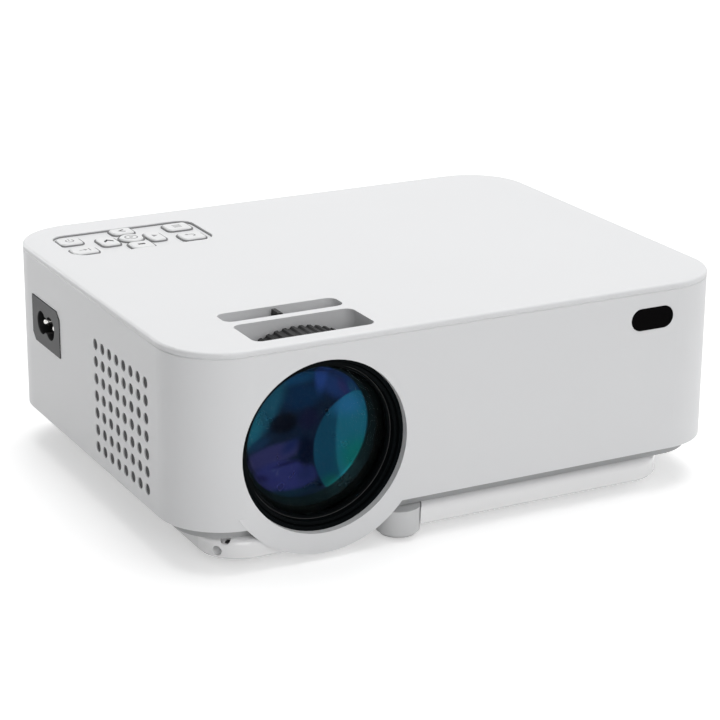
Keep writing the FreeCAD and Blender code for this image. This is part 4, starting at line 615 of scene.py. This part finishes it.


# Each painted reflection is its middle and half-sizes in millimetres, its turn in degrees, how soft its edge
# is, and its colour. The last three are small painted glints.
face_painted_reflections = (
    ((-3, 20), (11, 6), 0, 0.7, (0.005, 0.030, 0.072)),
    ((-1, 12), (10, 6), 0, 0.6, (0.003, 0.014, 0.037)),
    ((-16.5, 10.2), (18, 9), 57, 0.45, (0.008, 0.046, 0.074)),
    ((-18, 4), (8, 4.5), 70, 0.8, (0.009, 0.066, 0.096)),
    ((-16, -1.5), (6, 2.5), 20, 0.8, (0.006, 0.019, 0.044)),
    ((11, 16), (10, 6.5), -50, 0.5, (0.009, 0.021, 0.072)),
    ((16.4, 12.5), (5, 1.8), -60, 0.8, (0.009, 0.034, 0.075)),
    ((13, 13.5), (5, 2.0), -60, 0.8, (0.016, 0.017, 0.062)),
    ((5.4, 20.5), (3.2, 10.5), 0, 0.6, (0.013, 0.032, 0.122)),
    ((-7, 4), (6.5, 4.2), 0, 0.5, (0.002, 0.003, 0.007)),
    ((1.5, 4), (4.8, 5.2), 0, 0.6, (0.005, 0.006, 0.019)),
    ((-12, -6), (13.5, 4.3), 8, 0.45, (0.020, 0.019, 0.064)),
    ((-5, -4), (5, 2.6), 30, 0.8, (0.008, 0.013, 0.052)),
    ((-8, -18.5), (13, 3.5), 0, 0.8, (0.004, 0.014, 0.025)),
    ((-7.5, -13.2), (13.5, 5.6), -7, 0.3, (0.017, 0.018, 0.076)),
    ((0, -14), (5, 4), 0, 0.9, (0.010, 0.014, 0.054)),
    ((-15.5, -12.6), (4, 1.6), -20, 0.8, (0.009, 0.009, 0.045)),
    ((-6, -9.4), (8.0, 1.0), 5, 0.9, (0.008, 0.009, 0.036)),
    ((0.5, -6.5), (3.8, 7), 0, 0.6, (0.002, 0.004, 0.013)),
    ((-11.1, -10.9), (0.5, 0.35), 0, 0.8, (0.060, 0.090, 0.130)),
    ((-9.8, -12.2), (0.45, 0.45), 0, 0.8, (0.070, 0.090, 0.130)),
    ((-9.6, -11.2), (0.3, 0.4), 0, 0.8, (0.050, 0.070, 0.100)),
)
# Painted reflections inside the crescent, in the same columns.
crescent_painted_reflections = (
    ((31, -5), (20.7, 34), 0, 0.06, (0.009, 0.076, 0.112)),
    ((15, 7), (8, 6), 0, 0.9, (0.014, 0.080, 0.165)),
    ((18, -11), (9, 10), 0, 0.8, (0.004, 0.088, 0.084)),
    ((9, -18), (6, 4), 0, 0.8, (0.004, 0.052, 0.052)),
)
painted_reflections = add_node(element_painted_reflections, "ShaderNodeMix", data_type="RGBA")
painted_reflections.inputs[0].default_value = 0.0
painted_reflections.inputs[6].default_value = (0.004, 0.009, 0.020, 1.0)
for middle, spread, turn, soft, colour in face_painted_reflections:
    painted_reflections = lay(painted_reflections, colour, spot(middle, spread, turn, soft))
# A crescent of painted reflection over the face's painted reflections.
crescent_reflection = spot((23.3, -7.6), (20.4, 20.4), 0, 0.03)
painted_reflections = lay(painted_reflections, (0.005, 0.034, 0.061), crescent_reflection)
for middle, spread, turn, soft, colour in crescent_painted_reflections:
    painted_reflections = lay(painted_reflections, colour, spot(middle, spread, turn, soft), crescent_reflection)
rim_shade = add_node(element_painted_reflections, "ShaderNodeMix", data_type="RGBA")
rim_shade.inputs[6].default_value = (0.0035, 0.0075, 0.0085, 1.0)
wire(element_painted_reflections, spot((-0.7, 1.0), (22.2, 22.2), 0, 0.03), 0, rim_shade, 0)
wire(element_painted_reflections, painted_reflections, 2, rim_shade, 7)
wire(element_painted_reflections, rim_shade, 2, inner_shader, "Base Color")
inner_shader.inputs["Metallic"].default_value = 1.0
film = add_node(element_painted_reflections, "ShaderNodeTexNoise", Scale=120.0, Detail=3.0)
polish = add_node(element_painted_reflections, "ShaderNodeMapRange", To_Min=0.24, To_Max=0.34)
wire(element_painted_reflections, element_place, "Object", film, "Vector")
wire(element_painted_reflections, film, "Fac", polish, "Value")
wire(element_painted_reflections, polish, "Result", inner_shader, "Roughness")

inner_glass = bmesh.new()
lathe(
    inner_glass, dome(inner_edge, inner_low, inner_curve, 1) + inner_rim, lens_centre, lens_axis, glass_steps,
)
finished("inner_element", inner_glass, element_painted_reflections, "lens", glass_crease)

# ---------------------------------------------------------------- focus ring
# Knurled ring in black glass-filled plastic, which turns on the lens mount under the front slot. Steel
# pins on the barrel run in the tracks inside it.
ring_black = moulded(
    "ring_black", (0.0045, 0.0045, 0.005), (0.008, 0.008, 0.0085), 0.45, 2400.0, 0.00003, gloss=0.22,
)
coat(ring_black, "focus_ring")
coat(steel, "focus_pins")

# ---------------------------------------------------------------- disc drive
# Slim drive screwed under the lid: pressed steel case, rails and rods, black tray, sled and runners, and a
# white bezel. The pickup has a small moulded objective lens, and the hub three spring balls that grip the
# disc.
objective_inset, objective_edge, objective_rise, objective_curve = 0.0045, 0.0017, 0.0001, 0.0022
ball_count, ball_reach, ball_edge, ball_drop = 3, 0.00695, 0.0006, 0.00115

coat(steel, "dvd_case", "dvd_rails", "pickup_rods", "spindle_motor")
coat(black_plastic, "dvd_tray", "pickup_sled", "spindle_hub", "dvd_runners")
coat(white_plastic, "dvd_bezel", "eject_button")

objective_glass = clear("objective_glass", (0.55, 0.65, 0.95), 1.5, 0.02)
sled_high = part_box("pickup_sled")[1]
bead = bmesh.new()
lathe(
    bead,
    [(0.0, 0.0), (objective_edge, 0.0)] + dome(objective_edge, objective_rise, objective_curve, 1)[::-1],
    (sled_high[0] - objective_inset, 0.0, sled_high[2]), (0, 0, 1),
)
finished("objective_lens", bead, objective_glass, "pickup")
hub_low, hub_high = [Vector(corner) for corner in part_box("spindle_hub")]
balls = bmesh.new()
for ball in range(ball_count):
    turn = math.tau * ball / ball_count
    middle = (hub_low + hub_high) / 2 + ball_reach * Vector((math.cos(turn), math.sin(turn), 0.0))
    middle.z = hub_high.z - ball_drop
    bmesh.ops.create_uvsphere(
        balls, u_segments=16, v_segments=8, radius=ball_edge, matrix=Matrix.Translation(middle),
    )
finished("hub_balls", balls, steel, "spindle")

# ---------------------------------------------------------------- sockets at the back
# Pressed steel shells of the picture and the data socket, and black jacks, all soldered to the main board.
# Gold-flashed spring contacts are stamped from strip and laid on the tongues of both sockets.
contact_front, contact_back, contact_thick = 0.0765, 0.0690, 0.00008
# Each row is its middle, how many contacts it has, their pitch, their width and their height.
contact_rows = ((0.0400, 10, 0.0010, 0.0005, 0.0241), (0.0180, 4, 0.0024, 0.0012, 0.0250))
coat(steel, "hdmi_port", "usb_port")
coat(black_plastic, "av_jacks")
gold = metal("gold_flash", (0.80, 0.60, 0.26), 0.25, (1.0, 0.05, 1.0))


def brick(made, low, high):
    """A box between two corners."""
    low, high = Vector(low), Vector(high)
    size = Matrix.Diagonal((*(high - low), 1.0))
    bmesh.ops.create_cube(made, size=1.0, matrix=Matrix.Translation((low + high) / 2) @ size)


contacts = bmesh.new()
for middle, count, pitch, wide, level in contact_rows:
    for step in range(count):
        x = middle + (step - (count - 1) / 2) * pitch
        brick(
            contacts, (x - wide / 2, contact_back, level - contact_thick),
            (x + wide / 2, contact_front, level + contact_thick),
        )
finished("socket_contacts", contacts, gold, "housing")

# ---------------------------------------------------------------- top cover
# The flat lid in the shell's white ABS, with the walls of both slots and the screw posts moulded on. It
# drops into the shell and is drawn down by the screws from below.
coat(white_plastic, "top_cover")

# ---------------------------------------------------------------- keystone slider
# Black slider that clips into the lid's rear slot. Its nub is pushed with a fingertip, and an inclined slot
# under it tilts the mirror frame.
coat(black_plastic, "keystone_slider")

# ---------------------------------------------------------------- painted shade lines
# Thin grey lines, raised a little on the sunk pad's floor, round each key and along the recess's wall. They
# are a dark thing put where the gaps and the wall are in shade: painted shade.
pad_x, pad_y, pad_floor = -0.0625, 0.05175, 0.0725
pad_long, pad_wide, pad_corner = 0.0530, 0.0265, 0.0055
painted_shade_line, painted_shade_high, key_clear, key_corner, corner_steps = 0.00040, 0.00036, 0.0002, 0.0016, 8
# Each key's middle from the pad's middle, its length and its width.
key_places = {
    "power": (-0.0215, 0.00525, 0.0080, 0.0075), "source": (-0.0210, -0.00745, 0.0090, 0.0070),
    "up": (-0.0005, 0.00925, 0.0080, 0.0065), "left": (-0.0095, -0.00055, 0.0065, 0.0095),
    "down": (-0.0005, -0.00925, 0.0080, 0.0075), "right": (0.0077, -0.00155, 0.0055, 0.0100),
    "ok": (-0.0005, 0.00025, 0.0085, 0.0085), "menu": (0.0195, 0.00625, 0.0090, 0.0080),
    "back": (0.0195, -0.00675, 0.0085, 0.0080),
}


def raise_faces(made, faces, height):
    """Gives flat faces a thickness."""
    moved = bmesh.ops.extrude_face_region(made, geom=faces)["geom"]
    raised = [item for item in moved if isinstance(item, bmesh.types.BMVert)]
    bmesh.ops.translate(made, verts=raised, vec=(0, 0, height))


def frame_line(made, middle, long, wide, corner):
    """A flat line just inside a rectangle with round corners."""
    size = Matrix.Diagonal((long, wide, 1.0, 1.0))
    spots = bmesh.ops.create_grid(
        made, x_segments=1, y_segments=1, size=0.5, matrix=Matrix.Translation(middle) @ size,
    )["verts"]
    bmesh.ops.bevel(
        made, geom=spots, offset=corner, offset_type="OFFSET", segments=corner_steps, profile=0.5,
        affect="VERTICES", material=-1,
    )
    face = made.faces[:][-1]
    ring = bmesh.ops.inset_region(
        made, faces=[face], thickness=painted_shade_line, use_boundary=True, use_even_offset=True,
    )["faces"]
    bmesh.ops.delete(made, geom=[face], context="FACES_ONLY")
    return ring


# Grey for the lines that stand in for the shade in the gaps: painted shade.
shade_line_grey = moulded("shade_line_grey", (0.22, 0.222, 0.225), (0.26, 0.262, 0.265), 0.6, 1500.0, 0.00001, gloss=0.2)
grown = 2 * (key_clear + painted_shade_line)
corner_growth = 0.499 * grown
lines = [(0.0, 0.0, pad_long, pad_wide, pad_corner)] + [
    (x, y, long + grown, wide + grown, (long / 2 if name == "ok" else key_corner) + corner_growth)
    for name, (x, y, long, wide) in key_places.items()
]
for count, (x, y, long, wide, corner) in enumerate(lines):
    line = bmesh.new()
    ring = frame_line(line, Vector((pad_x + x, pad_y + y, pad_floor)), long, wide, corner)
    raise_faces(line, ring, painted_shade_high)
    finished(f"painted_shade_line_{count}", line, shade_line_grey, "housing")

# ---------------------------------------------------------------- keys
# Nine white ABS caps in the sunk pad at the back left. Their signs are pad printed: arrows, a ring on the
# middle key, and plain signs for power, source, menu and back.
key_top, ink, stroke = 0.0734, 0.00003, 0.00040
key_plastic = moulded("key_plastic", (0.80, 0.805, 0.81), (0.83, 0.835, 0.84), 0.30, 3200.0, 0.00001)
dark_print = moulded("dark_print", (0.02, 0.02, 0.022), (0.03, 0.03, 0.032), 0.6, 900.0, 0.00001, gloss=0.2)
pale_print = moulded("pale_print", (0.30, 0.30, 0.305), (0.36, 0.36, 0.365), 0.6, 900.0, 0.00001, gloss=0.2)
dark_signs = ("left", "down", "up")


def stamp(made, middle, turn, *corners):
    """A printed shape with its corners given in millimetres, turned in degrees."""
    spin = Matrix.Rotation(math.radians(turn), 3, "Z")
    outline = [made.verts.new(middle + spin @ Vector((x * mm, y * mm, 0.0))) for x, y in corners]
    raise_faces(made, [made.faces.new(outline)], ink)


def bar(made, middle, x, y, long, thick):
    """A printed bar whose middle is at x, y."""
    left, right, low, high = x - long / 2, x + long / 2, y - thick / 2, y + thick / 2
    stamp(made, middle, 0, (left, low), (right, low), (right, high), (left, high))


def arc(made, middle, radius, start, sweep, steps):
    """A printed stroke along part of a circle, in degrees from +X."""
    turn = Matrix.Rotation(math.radians(start), 3, "Z")
    section = [
        made.verts.new(middle + turn @ Vector((radius + side * stroke / 2, 0.0, level)))
        for side, level in ((-1, 0.0), (1, 0.0), (1, ink), (-1, ink))
    ]
    if sweep == 360:
        geom = section + [made.edges.new(pair) for pair in zip(section, section[1:] + section[:1])]
    else:
        face = made.faces.new(section)
        geom = [*section, *face.edges, face]
    bmesh.ops.spin(
        made, geom=geom, cent=middle, axis=(0, 0, 1), dvec=(0, 0, 0), angle=math.radians(sweep),
        steps=steps, use_merge=sweep == 360,
    )


signs = {name: bmesh.new() for name in key_places}
tops = {name: Vector((pad_x + place[0], pad_y + place[1], key_top)) for name, place in key_places.items()}
stamp(
    signs["left"], tops["left"], 0,
    (0, 1.6), (-1.7, -0.3), (-1.7, -1.6), (0, 0.2), (1.7, -1.6), (1.7, -0.3),
)
stamp(signs["up"], tops["up"], 0, (-1.3, 0), (0.9, 1.5), (1.2, 1.1), (-0.4, 0), (1.2, -1.1), (0.9, -1.5))
bar(signs["down"], tops["down"], 0.0, 0.0, 2.6, 1.2)
stamp(signs["right"], tops["right"], 0, (1.1, 0), (-0.9, 1.3), (-0.9, -1.3))
arc(signs["ok"], tops["ok"], 2.2 * mm, 0, 360, 32)
arc(signs["ok"], tops["ok"], 0.5 * mm, 0, 360, 16)
arc(signs["power"], tops["power"], 1.4 * mm, 125, 290, 20)
bar(signs["power"], tops["power"], 0.0, 1.2, 0.4, 1.6)
for level in (-1.2, 0.0, 1.2):
    bar(signs["menu"], tops["menu"], 0.0, level, 3.0, 0.4)
bar(signs["source"], tops["source"], -0.9, 0.0, 1.8, 0.4)
stamp(signs["source"], tops["source"], 0, (1.2, 0), (0.0, 0.9), (0.0, -0.9))
bar(signs["source"], tops["source"], 1.9, 0.0, 0.4, 2.8)
arc(signs["back"], tops["back"], 1.2 * mm, -90, 180, 14)
bar(signs["back"], tops["back"], -0.7, 1.2, 1.4, 0.4)
stamp(signs["back"], tops["back"], 0, (-2.2, 1.2), (-1.2, 0.4), (-1.2, 2.0))
for name, sign in signs.items():
    coat(key_plastic, f"key_{name}")
    print_ink = dark_print if name in dark_signs else pale_print
    finished(f"sign_{name}", sign, print_ink, f"key_{name}_body")
